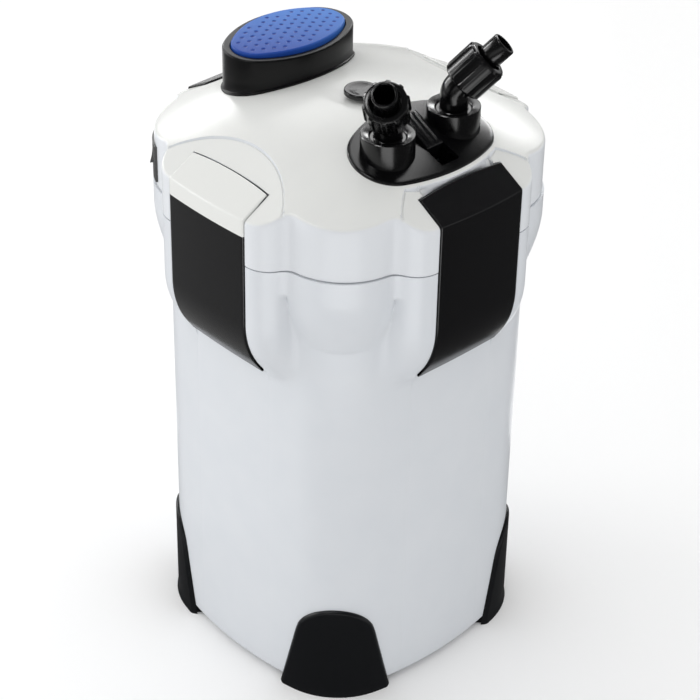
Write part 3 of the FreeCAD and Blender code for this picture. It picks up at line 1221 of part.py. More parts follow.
def build_baskets():
    inset = "barrel_wall + basket_gap"
    media = ("coarse_sponge", "fine_sponge", "ceramic_rings", "filter_wool")
    for i, filling in enumerate(media):
        low = f"(basket_start + {i} * basket_high)"
        high = f"(basket_start + {i + 1} * basket_high)"
        outside = notched(f"basket_outside_{i + 1}", low, high, inset, "0")
        inside = notched(f"basket_inside_{i + 1}", f"{low} + basket_wall", f"{high} + 1",
                         f"{inset} + basket_wall",
                         "basket_wall")
        slots = slot_row("basket_slot", 4, "slot_pitch", "slot_half", "slot_inset",
                         (f"{low} - 1", f"{low} + basket_wall + 1"))
        keep(f"media_basket_{i + 1}", cut(f"basket_body_{i + 1}", outside, inside, *slots))
        keep(filling, notched(filling + "_body", f"{low} + basket_wall + skin_gap", f"{high} - media_drop",
                              f"{inset} + basket_wall + media_gap", "basket_wall + media_gap"))
    top = f"(basket_start + {len(media)} * basket_high)"
    lid = notched("lid_blank", top, f"{top} + lid_thick", inset, "0")
    openings = slot_row("lid_slot", 3, "lid_slot_pitch", "lid_slot_half", "lid_slot_inset",
                        (f"{top} - 1", f"{top} + lid_thick + 1"))
    keep("basket_lid", cut("basket_lid_body", lid, *openings))


build_barrel()
build_feet()
build_head_cover()
build_head_base()
build_latches()
build_primer()
build_valve()
build_elbows()
build_switch()
build_gland()
build_pump()
build_lamp()
build_baskets()
doc.recompute()

faults = [piece.Label for piece in doc.Objects if {"Invalid", "Error"} & set(piece.State)]
for name, piece in nodes.items():
    if piece.Shape.isNull() or not piece.Shape.isValid() or not piece.Shape.Solids:
        faults.append(name)
if faults:
    raise RuntimeError("not sound: " + ", ".join(faults))

os.makedirs("parts", exist_ok=True)
for name, piece in nodes.items():
    piece.Shape.exportStep(os.path.join("parts", name + ".step"))
    print(name, len(piece.Shape.Solids), round(piece.Shape.Volume / 1000, 1), "cm3")
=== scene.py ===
import json
import math
import bmesh
import bpy
import numpy as np
from mathutils import Matrix


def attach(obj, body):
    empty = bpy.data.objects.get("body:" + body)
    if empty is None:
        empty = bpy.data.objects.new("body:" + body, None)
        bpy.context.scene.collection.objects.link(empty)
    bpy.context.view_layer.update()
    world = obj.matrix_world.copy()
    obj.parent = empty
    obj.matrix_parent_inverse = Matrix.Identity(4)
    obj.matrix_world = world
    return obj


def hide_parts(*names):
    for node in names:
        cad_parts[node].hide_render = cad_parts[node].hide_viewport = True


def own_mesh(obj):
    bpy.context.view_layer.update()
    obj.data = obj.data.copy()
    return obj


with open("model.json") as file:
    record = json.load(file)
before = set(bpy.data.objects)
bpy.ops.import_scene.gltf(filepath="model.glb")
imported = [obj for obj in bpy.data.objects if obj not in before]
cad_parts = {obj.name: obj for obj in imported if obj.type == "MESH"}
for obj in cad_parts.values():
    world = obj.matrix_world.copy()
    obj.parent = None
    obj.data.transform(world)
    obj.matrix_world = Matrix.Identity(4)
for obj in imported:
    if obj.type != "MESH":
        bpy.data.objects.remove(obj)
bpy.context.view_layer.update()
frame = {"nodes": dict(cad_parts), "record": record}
mm = 0.001  # shapes are worked out in millimetres and stored in metres

# shader nodes and materials


def toLinear(hexColor):
    # an sRGB hex colour as linear red, green, blue and alpha
    channels = [int(hexColor[i:i + 2], 16) / 255 for i in (0, 2, 4)]
    return [c / 12.92 if c <= 0.04045 else ((c + 0.055) / 1.055) ** 2.4 for c in channels] + [1.0]


def addNode(tree, kind, values=None, **settings):
    # a shader node with its settings; its inputs are set to values or joined to other nodes' outputs
    node = tree.nodes.new("ShaderNode" + kind)
    for name, value in settings.items():
        setattr(node, name, value)
    for name, value in (values or {}).items():
        if isinstance(value, bpy.types.NodeSocket):
            tree.links.new(value, node.inputs[name])
        else:
            node.inputs[name].default_value = value
    return node


def newMaterial(name, kind="BsdfPrincipled", **values):
    # a material with one shader, whose inputs are named with _ for a space
    material = bpy.data.materials.new(name)
    material.use_nodes = True
    tree = material.node_tree
    tree.nodes.clear()
    shader = addNode(tree, kind, {key.replace("_", " "): value for key, value in values.items()})
    tree.links.new(shader.outputs[0], addNode(tree, "OutputMaterial").inputs[0])
    return material, tree, shader


def objectPlace(tree):
    return addNode(tree, "TexCoord").outputs["Object"]


def noise(tree, size, detail=2.0):
    # a noise whose grains are about a size in mm
    values = {"Vector": objectPlace(tree), "Scale": 1 / (size * mm), "Detail": detail}
    return addNode(tree, "TexNoise", values).outputs["Fac"]


def fade(tree, value, low, high):
    # goes from 0 to 1 as a value goes from low to high
    return addNode(tree, "MapRange", {"Value": value, "From Min": low, "From Max": high}).outputs[0]


def mixed(tree, share, first, second):
    # a colour between two, each a hex colour or another node's output
    ends = [toLinear(color) if isinstance(color, str) else color for color in (first, second)]
    return addNode(tree, "MixRGB", {"Fac": share, "Color1": ends[0], "Color2": ends[1]}).outputs[0]


def dress(tree, shader, color, height, strength, depth):
    # joins a colour, if there is one, and a bump of a depth in mm to a shader
    if color:
        tree.links.new(color, shader.inputs["Base Color"])
    bump = addNode(tree, "Bump", {"Height": height, "Strength": strength, "Distance": depth * mm})
    tree.links.new(bump.outputs[0], shader.inputs["Normal"])


# camera, floor and light

photoView = {
    "turn": 46.56,          # degrees round the filter, from looking along +Y
    "elevation": 34.16,
    "distance": 1.8095,     # metres
    "target": (0.0025, 0.0027, 0.2441),
    "roll": 1.14,
    "lens": 116.76,         # mm on a sensor of this width
    "sensor": 36,
    "farthest": 50,         # metres
}
studio = {
    "worldColor": "FFFFFF",
    "worldStrength": 0.98,
    "worldLean": (-0.15, 0.06, 0.0),    # how the room's light falls off towards the front right
    # what a glossy surface sees of the room beside the cards: (height of the direction, brightness)
    "glossBands": ((0.0, 0.08), (0.40, 0.08), (0.46, 0.6), (0.54, 0.6), (0.60, 0.08), (1.0, 0.06)),
    "floorColor": "FCFCFC",
    "floorSize": 12.0,
    "keyPower": 8.0,
    "keySize": 0.9,
    "keyPlace": (-1.45, -1.1, 0.95),
    "keyTarget": (0, 0, 0.3),
    # cards that only reflections see: place, target, width, height, strength
    "cards": {
        "backCard": ((-1.75, 1.62, 2.05), (0, 0, 0.45), 1.4, 1.3, 3.0),
        "plateCard": ((-0.75, 1.15, 2.6), (0.03, 0, 0.45), 0.9, 1.5, 2.4),
        "crescentBack": ((-1.04, 2.49, 1.51), (0, 0, 0.47), 0.8, 0.6, 11.0),
        "crescentLeft": ((-2.55, 0.9, 1.51), (0, 0, 0.47), 0.8, 0.6, 11.0),
        "ribCard": ((-1.87, -0.48, 0.97), (0, 0, 0.5), 0.4, 0.8, 10.0),
        "ridgeCard": ((-0.09, -1.21, 2.3), (0, 0, 0.47), 0.6, 0.5, 9.0),
        "leftFloor": ((-0.85, 0.35, 0.003), (-0.85, 0.35, 1), 1.3, 1.3, 1.6),
        "frontFloor": ((-0.75, -0.55, 0.004), (-0.75, -0.55, 1), 1.4, 1.2, 0.3),
        "sleeveFloor": ((0.66, -0.64, 0.003), (0.66, -0.64, 1), 0.7, 0.6, 2.6),
    },
}


def addObject(name, data):
    thing = bpy.data.objects.new(name, data)
    bpy.context.scene.collection.objects.link(thing)
    return thing


def aim(thing, place, target, roll=0):
    # puts a camera, light or card at a place, looking at a target, turned about its own line of sight
    forward = np.array(target, float) - np.array(place, float)
    forward /= np.linalg.norm(forward)
    upward = (0, 0, 1) if abs(forward[2]) < 0.99 else (1, -1, 0)
    side = np.cross(forward, upward)
    side /= np.linalg.norm(side)
    up = np.cross(side, forward)
    turn = math.radians(roll)
    axes = np.eye(4)
    axes[:3, 0] = math.cos(turn) * side + math.sin(turn) * up
    axes[:3, 1] = math.cos(turn) * up - math.sin(turn) * side
    axes[:3, 2] = -forward
    axes[:3, 3] = place
    thing.matrix_world = Matrix(axes.tolist())


def makeCamera():
    turn, rise = math.radians(photoView["turn"]), math.radians(photoView["elevation"])
    away = np.array((math.sin(turn) * math.cos(rise), -math.cos(turn) * math.cos(rise), math.sin(rise)))
    place = np.array(photoView["target"]) + photoView["distance"] * away
    camera = addObject("camera", bpy.data.cameras.new("camera"))
    camera.data.lens = photoView["lens"]
    camera.data.sensor_width = photoView["sensor"]
    camera.data.clip_end = photoView["farthest"]
    aim(camera, place, photoView["target"], photoView["roll"])
    bpy.context.scene.camera = camera


def makePlane(name, width, height, material):
    mesh = bpy.data.meshes.new(name)
    x, y = width / 2, height / 2
    mesh.from_pydata([(-x, -y, 0), (x, -y, 0), (x, y, 0), (-x, y, 0)], [], [(0, 1, 2, 3)])
    mesh.materials.append(material)
    plane = addObject(name, mesh)
    return plane


def makeRoom():
    # the camera sees plain white, light leans to one side, and glossy surfaces see bands of brightness
    world = bpy.data.worlds.new("studio")
    bpy.context.scene.world = world
    world.use_nodes = True
    tree = world.node_tree
    room = tree.nodes["Background"]
    room.inputs["Color"].default_value = toLinear(studio["worldColor"])
    direction = addNode(tree, "TexCoord").outputs["Generated"]
    lean = addNode(tree, "VectorMath", {0: direction, 1: studio["worldLean"]}, operation="DOT_PRODUCT")
    lit = addNode(tree, "Math", {0: lean.outputs["Value"], 1: studio["worldStrength"]}, operation="ADD")
    rays = addNode(tree, "LightPath")
    shares = {"Factor": rays.outputs["Is Camera Ray"], "A": lit.outputs[0], "B": 1.0}
    tree.links.new(addNode(tree, "Mix", shares).outputs[0], room.inputs["Strength"])
    height = addNode(tree, "SeparateXYZ", {"Vector": direction}).outputs["Z"]
    bands = addNode(tree, "ValToRGB", {"Fac": fade(tree, height, -1.0, 1.0)})
    stops = bands.color_ramp.elements
    for i, (place, bright) in enumerate(studio["glossBands"]):
        stop = stops[i] if i < 2 else stops.new(place)
        stop.position = place
        stop.color = (bright, bright, bright, 1)
    mirrored = addNode(tree, "Background", {"Color": bands.outputs[0]})
    seen = {0: rays.outputs["Is Glossy Ray"], 1: room.outputs[0], 2: mirrored.outputs[0]}
    tree.links.new(addNode(tree, "MixShader", seen).outputs[0], tree.nodes["World Output"].inputs[0])


def makeStudio():
    bpy.context.scene.view_settings.view_transform = "Standard"
    makeRoom()
    paper = newMaterial("studioPaper", Base_Color=toLinear(studio["floorColor"]), Roughness=0.9,
                        Specular_IOR_Level=0.1)[0]
    makePlane("floor", studio["floorSize"], studio["floorSize"], paper).visible_glossy = False
    lamp = bpy.data.lights.new("key", "AREA")
    lamp.size = studio["keySize"]
    lamp.energy = studio["keyPower"]
    aim(addObject("key", lamp), studio["keyPlace"], studio["keyTarget"])
    for name, (place, target, width, height, strength) in studio["cards"].items():
        material = newMaterial(name, "Emission", Strength=strength)[0]
        material.cycles.emission_sampling = "NONE"
        card = makePlane(name, width, height, material)
        aim(card, place, target)
        card.visible_camera = card.visible_diffuse = card.visible_shadow = False


makeCamera()
makeStudio()
print("camera and studio")

# finishes: two shades, roughness, and how wide their drift and how fine their grain is, in mm

finishes = {
    # injection-moulded ABS, polished mould: clean, glossy, a little uneven
    "white": {"color": "E4E5E2", "second": "DEDFDD", "rough": 0.26, "wave": 30, "grain": 0.25},
    "barrelWhite": {"color": "DEE1E5", "second": "D8DCE1", "rough": 0.3, "wave": 30, "grain": 0.25},
    # black ABS, satin
    "black": {"color": "0B0B0D", "second": "08080A", "rough": 0.24, "wave": 40, "grain": 0.5},
    # the valve block, elbows and nuts, of a glossier black
    "glossBlack": {"color": "070708", "second": "050506", "rough": 0.2, "wave": 40, "grain": 0.5},
    # the primer's collar, duller, so that it stays dark above the white cover
    "dullBlack": {"color": "08080A", "second": "060607", "rough": 0.34, "wave": 40, "grain": 0.5},
}
twoToneLine = 424       # where the front and back handles turn from black to white


def moulded(name, color, second, rough, wave, grain, **shader):
    # colour drifts between two shades over centimetres, and a fine grain breaks up the gloss
    material, tree, principled = newMaterial(name, Roughness=rough, IOR=1.53, **shader)
    fine = noise(tree, grain, 1.0)
    gloss = addNode(tree, "MapRange", {"Value": fine, "To Min": rough * 0.85, "To Max": rough * 1.15})
    tree.links.new(gloss.outputs[0], principled.inputs["Roughness"])
    dress(tree, principled, mixed(tree, noise(tree, wave), color, second), fine, 0.15, 0.02)
    return material


def changeColor(material, node, output, low, high, below=None, above=None):
    # gives a finish another colour where the upward part of a node's output is below low or above high
    tree = material.node_tree
    base = tree.nodes["Principled BSDF"].inputs["Base Color"]
    own = base.links[0].from_socket
    upward = addNode(tree, "SeparateXYZ", {"Vector": addNode(tree, node).outputs[output]}).outputs["Z"]
    tree.links.new(mixed(tree, fade(tree, upward, low, high), below or own, above or own), base)
    return material


def makeFootRubber():
    # soft matt plastic, nearly black with a blue cast, with a fine eroded grain
    material, tree, shader = newMaterial("footRubber", Base_Color=toLinear("0B0D11"), Roughness=0.36)
    dress(tree, shader, None, noise(tree, 0.4, 3.0), 0.25, 0.03)
    return material


def makeButtonPlastic():
    # silk blue, with a painted highlight that makes it paler towards its back left end, and painted shade
    # that makes it navy in the dents
    material, tree, shader = newMaterial("buttonPlasticPaintedLight", Roughness=0.42, Specular_IOR_Level=0.25)
    place = addNode(tree, "SeparateXYZ", {"Vector": objectPlace(tree)}).outputs
    along = addNode(tree, "Math", {0: place["Y"], 1: place["X"]}, operation="SUBTRACT").outputs[0]
    # painted light: the blue grows paler towards the back left, where the light falls
    paintedLightBlue = mixed(tree, fade(tree, along, 20 * mm, 118 * mm), "17439A", "3C76C6")
    # painted shade: the dents turn navy as they deepen
    paintedDentShade = addNode(tree, "Attribute", attribute_name="dimple").outputs["Fac"]
    color = mixed(tree, fade(tree, paintedDentShade, 0.1, 0.6), paintedLightBlue, "12348A")
    dress(tree, shader, color, noise(tree, 0.3), 0.2, 0.02)
    return material


def textured(name, color, second, size, depth, kind="Noise", stretch=(1, 1, 1), edge=(0.3, 0.7), **shader):
    # two shades mixed by a noise or by cells of a size in mm, perhaps stretched, raised by a depth in mm
    material, tree, principled = newMaterial(name, **shader)
    place = addNode(tree, "Mapping", {"Vector": objectPlace(tree), "Scale": stretch}).outputs[0]
    pattern = addNode(tree, "Tex" + kind, {"Vector": place, "Scale": 1 / (size * mm)})
    share = fade(tree, pattern.outputs["Fac" if kind == "Noise" else "Distance"], *edge)
    dress(tree, principled, mixed(tree, share, color, second), share, 0.8, depth)
    return material


def layered(name, color, second, pitch, axis, **shader):
    # thin bands across an axis, as stacked sheets or turns of wire lie
    material, tree, principled = newMaterial(name, **shader)
    values = {"Vector": objectPlace(tree), "Scale": math.pi / (10 * pitch * mm), "Distortion": 0.0}
    bands = addNode(tree, "TexWave", values, bands_direction=axis).outputs["Fac"]
    dress(tree, principled, mixed(tree, bands, color, second), bands, 0.7, 0.2)
    return material


coverPaintedLight = changeColor(     # painted light: its upright sides are tinted the barrel's cooler white and its top a warmer white, by which way each face turns
    moulded("mouldedCoverPaintedLight", Specular_IOR_Level=0.25, **finishes["white"]),
    "NewGeometry", "Normal", 0.3, 0.75, below=finishes["barrelWhite"]["color"])
twoTone = changeColor(          # white above, black from just under the bend down
    moulded("mouldedTwoTone", **finishes["black"]), "TexCoord", "Object",
    (twoToneLine - 0.2) * mm, (twoToneLine + 0.2) * mm, above=finishes["white"]["color"])
glossBlack = moulded("mouldedGlossBlack", **finishes["glossBlack"])
dullBlack = moulded("mouldedDullBlack", Specular_IOR_Level=0.25, **finishes["dullBlack"])
plain = {
    "white_abs": moulded("mouldedWhite", Specular_IOR_Level=0.25, **finishes["white"]),
    "barrel_abs": moulded("mouldedBarrelWhite", **finishes["barrelWhite"]),
    "black_abs": moulded("mouldedBlack", **finishes["black"]),
    "foot_rubber": makeFootRubber(),
    "blue_button": makeButtonPlastic(),
    # soft rubber: matt, a little dusty
    "seal_rubber": textured("sealRubber", "17181A", "26272A", 0.6, 0.02, Roughness=0.62),
    # turned steel: a grey shine, drawn out along the pin
    "steel": textured("turnedSteel", "B9BCC0", "8E9297", 0.4, 0.004, stretch=(8, 8, 1), Metallic=1.0,
                      Roughness=0.3),
    # cool grey plastic, satin
    "grey_plastic": moulded("greyPlastic", "7C838B", "737A83", 0.38, 30, 0.4),
    # clear fused glass
    "quartz": newMaterial("quartzGlass", Base_Color=toLinear("F4F8FA"), Roughness=0.02, IOR=1.46,
                          Transmission_Weight=1.0)[0],
    # milky lamp glass
    "lamp_glass": textured("lampGlass", "EEF2F6", "DDE4EC", 6, 0.01, Roughness=0.15,
                           Transmission_Weight=0.35),
    # ferrite: charcoal, sintered, with pale specks
    "magnet": textured("ferrite", "2B2B2E", "47484B", 0.3, 0.02, Roughness=0.7, edge=(0.55, 0.75)),
    # a stack of punched iron sheets
    "core_iron": layered("ironSheets", "8B8D90", "4A4B4E", 0.5, "Y", Metallic=0.9, Roughness=0.45),
    # turns of lacquered copper wire
    "copper": layered("copperWire", "C46A38", "7A3415", 0.6, "Z", Metallic=0.9, Roughness=0.3),
    # unglazed ceramic: chalky off-white, with pores darkened by painted shade
    "ceramic": textured("biscuitCeramic", "D9CBB8", "F2EADC", 0.9, 0.08, "Voronoi", edge=(0.1, 0.5),
                        Roughness=0.9),
    # open-cell foam: round cells with painted shade in them, dark between their walls; the fine one is
    # closer
    "coarse_foam": textured("coarseFoam", "08090B", "30353C", 2.4, 1.2, "Voronoi", edge=(0.15, 0.6),
                            Roughness=0.95),
    "fine_foam": textured("fineFoam", "0D2F66", "3F78BE", 1.1, 0.6, "Voronoi", edge=(0.15, 0.6),
                          Roughness=0.95),
    # matted white fibre, soft at the edges
    "wool": textured("woolFibre", "E9EBEC", "FAFAF8", 1.6, 0.8, stretch=(1, 1, 6), Roughness=1.0,
                     Sheen_Weight=0.5),
}
print("finishes")

# shapes

raysFrom = 520          # a height above everything, from which rays drop onto a solid
down = np.array([0, 0, -1.0])


def smoothMax(a, b, blend):
    # the larger of two values, with the step between them rounded over the blend length
    near = np.maximum(blend - np.abs(a - b), 0) / blend
    return np.maximum(a, b) + near ** 2 * blend / 4


def smoothMin(a, b, blend):
    return -smoothMax(-a, -b, blend)


def largest(*values):
    return np.maximum.reduce(np.broadcast_arrays(*values))


def reach(start, direction, distance, steps=70):
    # each point goes along its direction by its own distance from a solid, again and again, until it lies
    # on it; beside a wall that distance stays small, so a step out there has a least length
    near, leastStep = 0.02, 0.6
    gone = np.zeros(start.shape[:-1])
    for step in range(steps):
        away = distance(start + direction * gone[..., None])
        gone = gone + np.where(away > near, np.maximum(away, leastStep), away)
    return gone


def drop(points, distance):
    # points above a solid go down onto it
    points[..., 2] -= reach(points, down, distance)
    return points


def turned(points, degrees):
    # points carried round the upright axis
    c, s = math.cos(math.radians(degrees)), math.sin(math.radians(degrees))
    x, y = points[..., 0], points[..., 1]
    return np.stack([x * c - y * s, x * s + y * c, *np.moveaxis(points[..., 2:], -1, 0)], -1)


def around(count):
    # evenly spaced angles of a whole turn
    return np.linspace(0, 2 * math.pi, count, endpoint=False)


def quarter(count):
    return np.linspace(0, math.pi / 2, count)


def rounding(x, z, radius, count=5):
    # a quarter circle from its outermost point to its top, of which x and z are the outer side and the top
    return [(x - radius + radius * math.cos(a), z - radius + radius * math.sin(a)) for a in quarter(count)]


def boxDistance(x, y, halfX, halfY, radius=0):
    # distance outside a rectangle with round corners
    qx, qy = np.abs(x) - (halfX - radius), np.abs(y) - (halfY - radius)
    return np.hypot(np.maximum(qx, 0), np.maximum(qy, 0)) + np.minimum(np.maximum(qx, qy), 0) - radius


def atHeight(plan, z):
    # the points of a plan at one height, or each at its own
    return np.concatenate([plan, np.broadcast_to(np.asarray(z, float), len(plan))[:, None]], 1)


def gridFaces(rows, columns, loop=False, first=0):
    # four-sided faces between the neighbours of a grid; a loop joins its last column to its first
    index = np.arange(rows * columns).reshape(rows, columns) + first
    if loop:
        index = np.concatenate([index, index[:, :1]], 1)
    corners = [index[:-1, :-1], index[:-1, 1:], index[1:, 1:], index[1:, :-1]]
    return np.stack(corners, -1).reshape(-1, 4).tolist()


def makeMesh(name, *grids, sharp=32, close=False):
    # one object from grids: (points as rows and columns, loop, the ends that get a cap); doubles are
    # merged, open edges closed if asked, and faces turned outwards
    points, faces = [], []
    for grid, loop, *caps in grids:
        first = sum(len(p) for p in points)
        rows, columns = grid.shape[:2]
        faces += gridFaces(rows, columns, loop, first)
        ends = {"start": first, "end": first + (rows - 1) * columns}
        faces += [list(range(ends[cap], ends[cap] + columns)) for cap in caps]
        points.append(grid.reshape(-1, 3))
    mesh = bpy.data.meshes.new(name)
    mesh.from_pydata((np.concatenate(points) * mm).tolist(), [], faces)
    build = bmesh.new()
    build.from_mesh(mesh)
    bmesh.ops.remove_doubles(build, verts=build.verts, dist=0.001 * mm)
    if close:
        bmesh.ops.holes_fill(build, edges=[edge for edge in build.edges if edge.is_boundary])
    bmesh.ops.recalc_face_normals(build, faces=build.faces)
    build.to_mesh(mesh)
    build.free()
    piece = addObject(name, mesh)
    smooth(piece, sharp)
    return piece


def smooth(piece, sharp):
    # rounds the shading, except over edges that turn by more than an angle
    piece.data.shade_smooth()
    piece.data.set_sharp_from_angle(angle=math.radians(sharp))


def combine(piece, operation, sharp, *tools):
    # cuts closed tools out of a piece, or joins them to it
    for tool in tools:
        modifier = piece.modifiers.new("combine", "BOOLEAN")
        modifier.object = tool
        modifier.operation = operation
        modifier.solver = "MANIFOLD"
        graph = bpy.context.evaluated_depsgraph_get()
        mesh = bpy.data.meshes.new_from_object(piece.evaluated_get(graph))
        piece.modifiers.clear()
        piece.data = mesh
        bpy.data.objects.remove(tool)
    smooth(piece, sharp)


def finishPiece(piece, material, body, node):
    # gives a piece its material and the body it rides on, and hides the imported node that it stands for
    piece.data.materials.clear()
    piece.data.materials.append(material)
    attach(piece, body)
    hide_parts(node)


def filletPath(corners, step):
    # a closed outline of corners (u, z, radius): straight runs and round corners, with points a step apart
    corners = [np.array(c, float) for c in corners]
    runs = []
    for i, corner in enumerate(corners):
        back, ahead = corners[i - 1][:2] - corner[:2], corners[(i + 1) % len(corners)][:2] - corner[:2]
        back, ahead = back / np.linalg.norm(back), ahead / np.linalg.norm(ahead)
        half = math.acos(np.clip(back @ ahead, -1, 1)) / 2
        radius = corner[2]
        if radius == 0 or half > math.radians(89.5):
            runs.append(corner[None, :2])
            continue
        bisector = (back + ahead) / np.linalg.norm(back + ahead)
        middle = corner[:2] + bisector * radius / math.sin(half)
        first, last = [corner[:2] + side * radius / math.tan(half) - middle for side in (back, ahead)]
        share = np.linspace(0, 1, max(3, int((math.pi - 2 * half) / 0.2) + 2))[:, None]
        arc = first * (1 - share) + last * share
        runs.append(middle + arc / np.linalg.norm(arc, axis=1)[:, None] * radius)
    outline = np.concatenate(runs + [runs[0][:1]])
    length = np.concatenate([[0], np.cumsum(np.linalg.norm(np.diff(outline, axis=0), axis=1))])
    along = np.concatenate([np.linspace(a, b, int((b - a) / step) + 1, endpoint=False)
                            for a, b in zip(length[:-1], length[1:]) if b - a > 1e-6])
    return np.stack([np.interp(along, length, outline[:, k]) for k in (0, 1)], 1)


def outwardNormals(outline):
    # at each point of a closed outline, the unit vector out of it
    ahead = np.roll(outline, -1, 0) - np.roll(outline, 1, 0)
    ahead /= np.linalg.norm(ahead, axis=1)[:, None]
    out = np.stack([ahead[:, 1], -ahead[:, 0]], 1)
    x, y = outline.T
    area = np.sum(x * np.roll(y, -1) - np.roll(x, -1) * y)
    return out if area > 0 else -out


def edgeStations(half, radius, steps, between):
    # places across a piece, crowded at its two edges, and how far the outline is drawn in there
    turn = quarter(steps + 1)
    edge = half - radius * (1 - np.sin(turn))
    drawn = radius * (1 - np.cos(turn))
    middle = np.linspace(edge[0], -edge[0], between + 2)[1:-1]
    stations = np.concatenate([edge[::-1], middle, -edge])
    return stations, np.concatenate([drawn[::-1], 0 * middle, drawn])


def across(outline, stations, shift):
    # an outline in u and z carried across: a point moves along the outline's normal by its shift there
    placed = outline[None] + outwardNormals(outline)[None] * shift[..., None]
    t = np.broadcast_to(stations[:, None], placed.shape[:2])
    return np.stack([placed[..., 0], t, placed[..., 1]], -1)


def revolve(profile, x=0, y=0, count=64):
    # a closed profile of (radius, height) turned round an upright axis
    angle = around(count)[None]
    r, z = np.hsplit(np.array(profile, float), 2)
    return np.stack([x + r * np.cos(angle), y + r * np.sin(angle), z + 0 * angle], -1), True


def lyingCylinder(x, z, radius, halfLength, count=64):
    # a closed cylinder along Y
    angle = around(count)
    rows = [np.stack([x + radius * np.cos(angle), 0 * angle + y, z + radius * np.sin(angle)], 1)
            for y in (-halfLength, halfLength)]
    return np.stack(rows), True, "start", "end"


def boxGrid(x, halfWidth, z):
    # an upright box about the X axis
    plan = np.array([(x[0], -halfWidth), (x[1], -halfWidth), (x[1], halfWidth), (x[0], halfWidth)], float)
    return np.stack([atHeight(plan, level) for level in z]), True, "start", "end"


def ovalArcs(halfWidth, halfLength, endRound):
    # an oval of two long arcs with round ends: where an end's middle lies, the arcs' radius and middles
    end = halfLength - endRound
    radius = (halfWidth ** 2 - endRound ** 2 + end ** 2) / (2 * (halfWidth - endRound))
    return end, radius, radius - halfWidth


def ovalDistance(x, y, halfWidth, halfLength, endRound):
    # distance outside that oval
    x, y = np.abs(x), np.abs(y)
    end, radius, back = ovalArcs(halfWidth, halfLength, endRound)
    atEnd = (x + back) * end < y * back
    return np.where(atEnd, np.hypot(x, y - end) - endRound, np.hypot(x + back, y) - radius)


def ovalRing(halfWidth, halfLength, endRound, count):
    # points evenly spaced round that oval, and their outward normals
    end, radius, back = ovalArcs(halfWidth, halfLength, endRound)
    angle = np.linspace(-math.pi / 2, 3 * math.pi / 2, 4000)
    c, s = np.cos(angle), np.sin(angle)
    onSide = np.abs(s) < math.sin(math.atan2(end, back))
    x = np.where(onSide, np.sign(c) * (-back) + radius * c, endRound * c)
    y = np.where(onSide, radius * s, np.sign(s) * end + endRound * s)
    length = np.concatenate([[0], np.cumsum(np.hypot(np.diff(x), np.diff(y)))])
    chosen = np.interp(np.linspace(0, length[-1], count, endpoint=False), length, angle)
    ring = np.stack([np.interp(chosen, angle, x), np.interp(chosen, angle, y)], 1)
    return ring, np.stack([np.cos(chosen), np.sin(chosen)], 1)


# outlines that the barrel and the head share

form = {
    "half": 120, "bulge": 300, "cornerRound": 60,
    "headHalf": 118.8, "headRound": 52,
    "lobeOut": 139.5, "lobeHalf": 43, "lobeRound": 22, "lobeBend": 350, "lobeCurve": 71,
    "valley": 9,            # softness of the valleys beside a lobe
    "latchHalf": 41, "latchGap": 0.7,
    "seam": 400, "seamGap": 1,
    "core": 43,             # half of the middle square from which the columns of the grids start
    "outside": 130,         # along a column, this lies outside the filter
    "gridHeight": 428, "fan": 120,
    "hookHalf": 15,         # half the width of a hook's pocket
}
slotHalf = form["latchHalf"] + form["latchGap"]
beside = 0.03           # how far the columns and rows on both sides of a step lie from it


def bulgedSquare(x, y, inset=0):
    # distance outside four shallow arcs joined by round corners
    x, y = np.abs(x), np.abs(y)
    back = form["bulge"] - form["half"]
    reachOut, corner = form["bulge"] - inset, form["cornerRound"] - inset
    middle = (-back + math.sqrt(2 * (form["bulge"] - form["cornerRound"]) ** 2 - back ** 2)) / 2
    lean = math.atan2(middle, middle + back)
    fromX, fromY = x - middle, y - middle
    inCorner = ((fromY * math.cos(lean) > fromX * math.sin(lean))
                & (fromX * math.cos(lean) > fromY * math.sin(lean)))
    sides = np.maximum(np.hypot(x + back, y), np.hypot(x, y + back)) - reachOut
    return np.where(inCorner, np.hypot(fromX, fromY) - corner, sides)


def outAndAside(p):
    # folds the four sides onto one: how far out a point is, and how far aside
    x, y = np.abs(p[..., 0]), np.abs(p[..., 1])
    return np.maximum(x, y), np.minimum(x, y)


def lobeDistance(u, t, z):
    # a block with round corners whose face curls in on an arc below the bend
    below = np.clip(form["lobeBend"] - z, 0, form["lobeCurve"])
    face = form["lobeOut"] - form["lobeCurve"] + np.sqrt(form["lobeCurve"] ** 2 - below ** 2)
    return boxDistance(u, t, face, form["lobeHalf"] + form["lobeRound"], form["lobeRound"])


def makeColumns(distance):
    # places to start from on the middle square and directions to go: straight out across each side, and as
    # a fan round each corner, spaced evenly along the outline
    core, count = form["core"], form["fan"]
    half = np.concatenate([np.linspace(0, form["hookHalf"] - beside, 8),
                           np.linspace(form["hookHalf"] + beside, slotHalf - beside, 16),
                           slotHalf + np.array([beside, 0.2, 0.4, 0.65, 0.95]), [core]])
    steps = np.concatenate([-half[:0:-1], half])
    angle = quarter(900)
    way = np.stack([np.cos(angle), np.sin(angle), 0 * angle], -1)
    start = np.array([core, core, form["gridHeight"]]) + way * form["outside"]
    edge = start - way * reach(start, -way, distance)[:, None]
    length = np.concatenate([[0], np.cumsum(np.linalg.norm(np.diff(edge, axis=0), axis=1))])
    fan = np.interp(np.linspace(0, length[-1], count + 2)[1:-1], length, angle)
    base = np.concatenate([np.stack([core + 0 * steps, steps], 1), np.full((count, 2), core)])
    way = np.concatenate([np.stack([1 + 0 * steps, 0 * steps], 1), np.stack([np.cos(fan), np.sin(fan)], 1)])
    inSlot = np.concatenate([np.abs(steps) < slotHalf, np.zeros(count, bool)])
    quarters = [0, 90, 180, 270]
    return (np.concatenate([turned(base, q) for q in quarters]),
            np.concatenate([turned(way, q) for q in quarters]), np.tile(inSlot, 4), steps)


def upRay(columns, along, z):
    # points over the columns, at distances along them
    base, way = columns[:2]
    plan = base + way * np.asarray(along)[..., None]
    return np.concatenate([plan, np.broadcast_to(np.asarray(z, float), along.shape)[..., None]], -1)


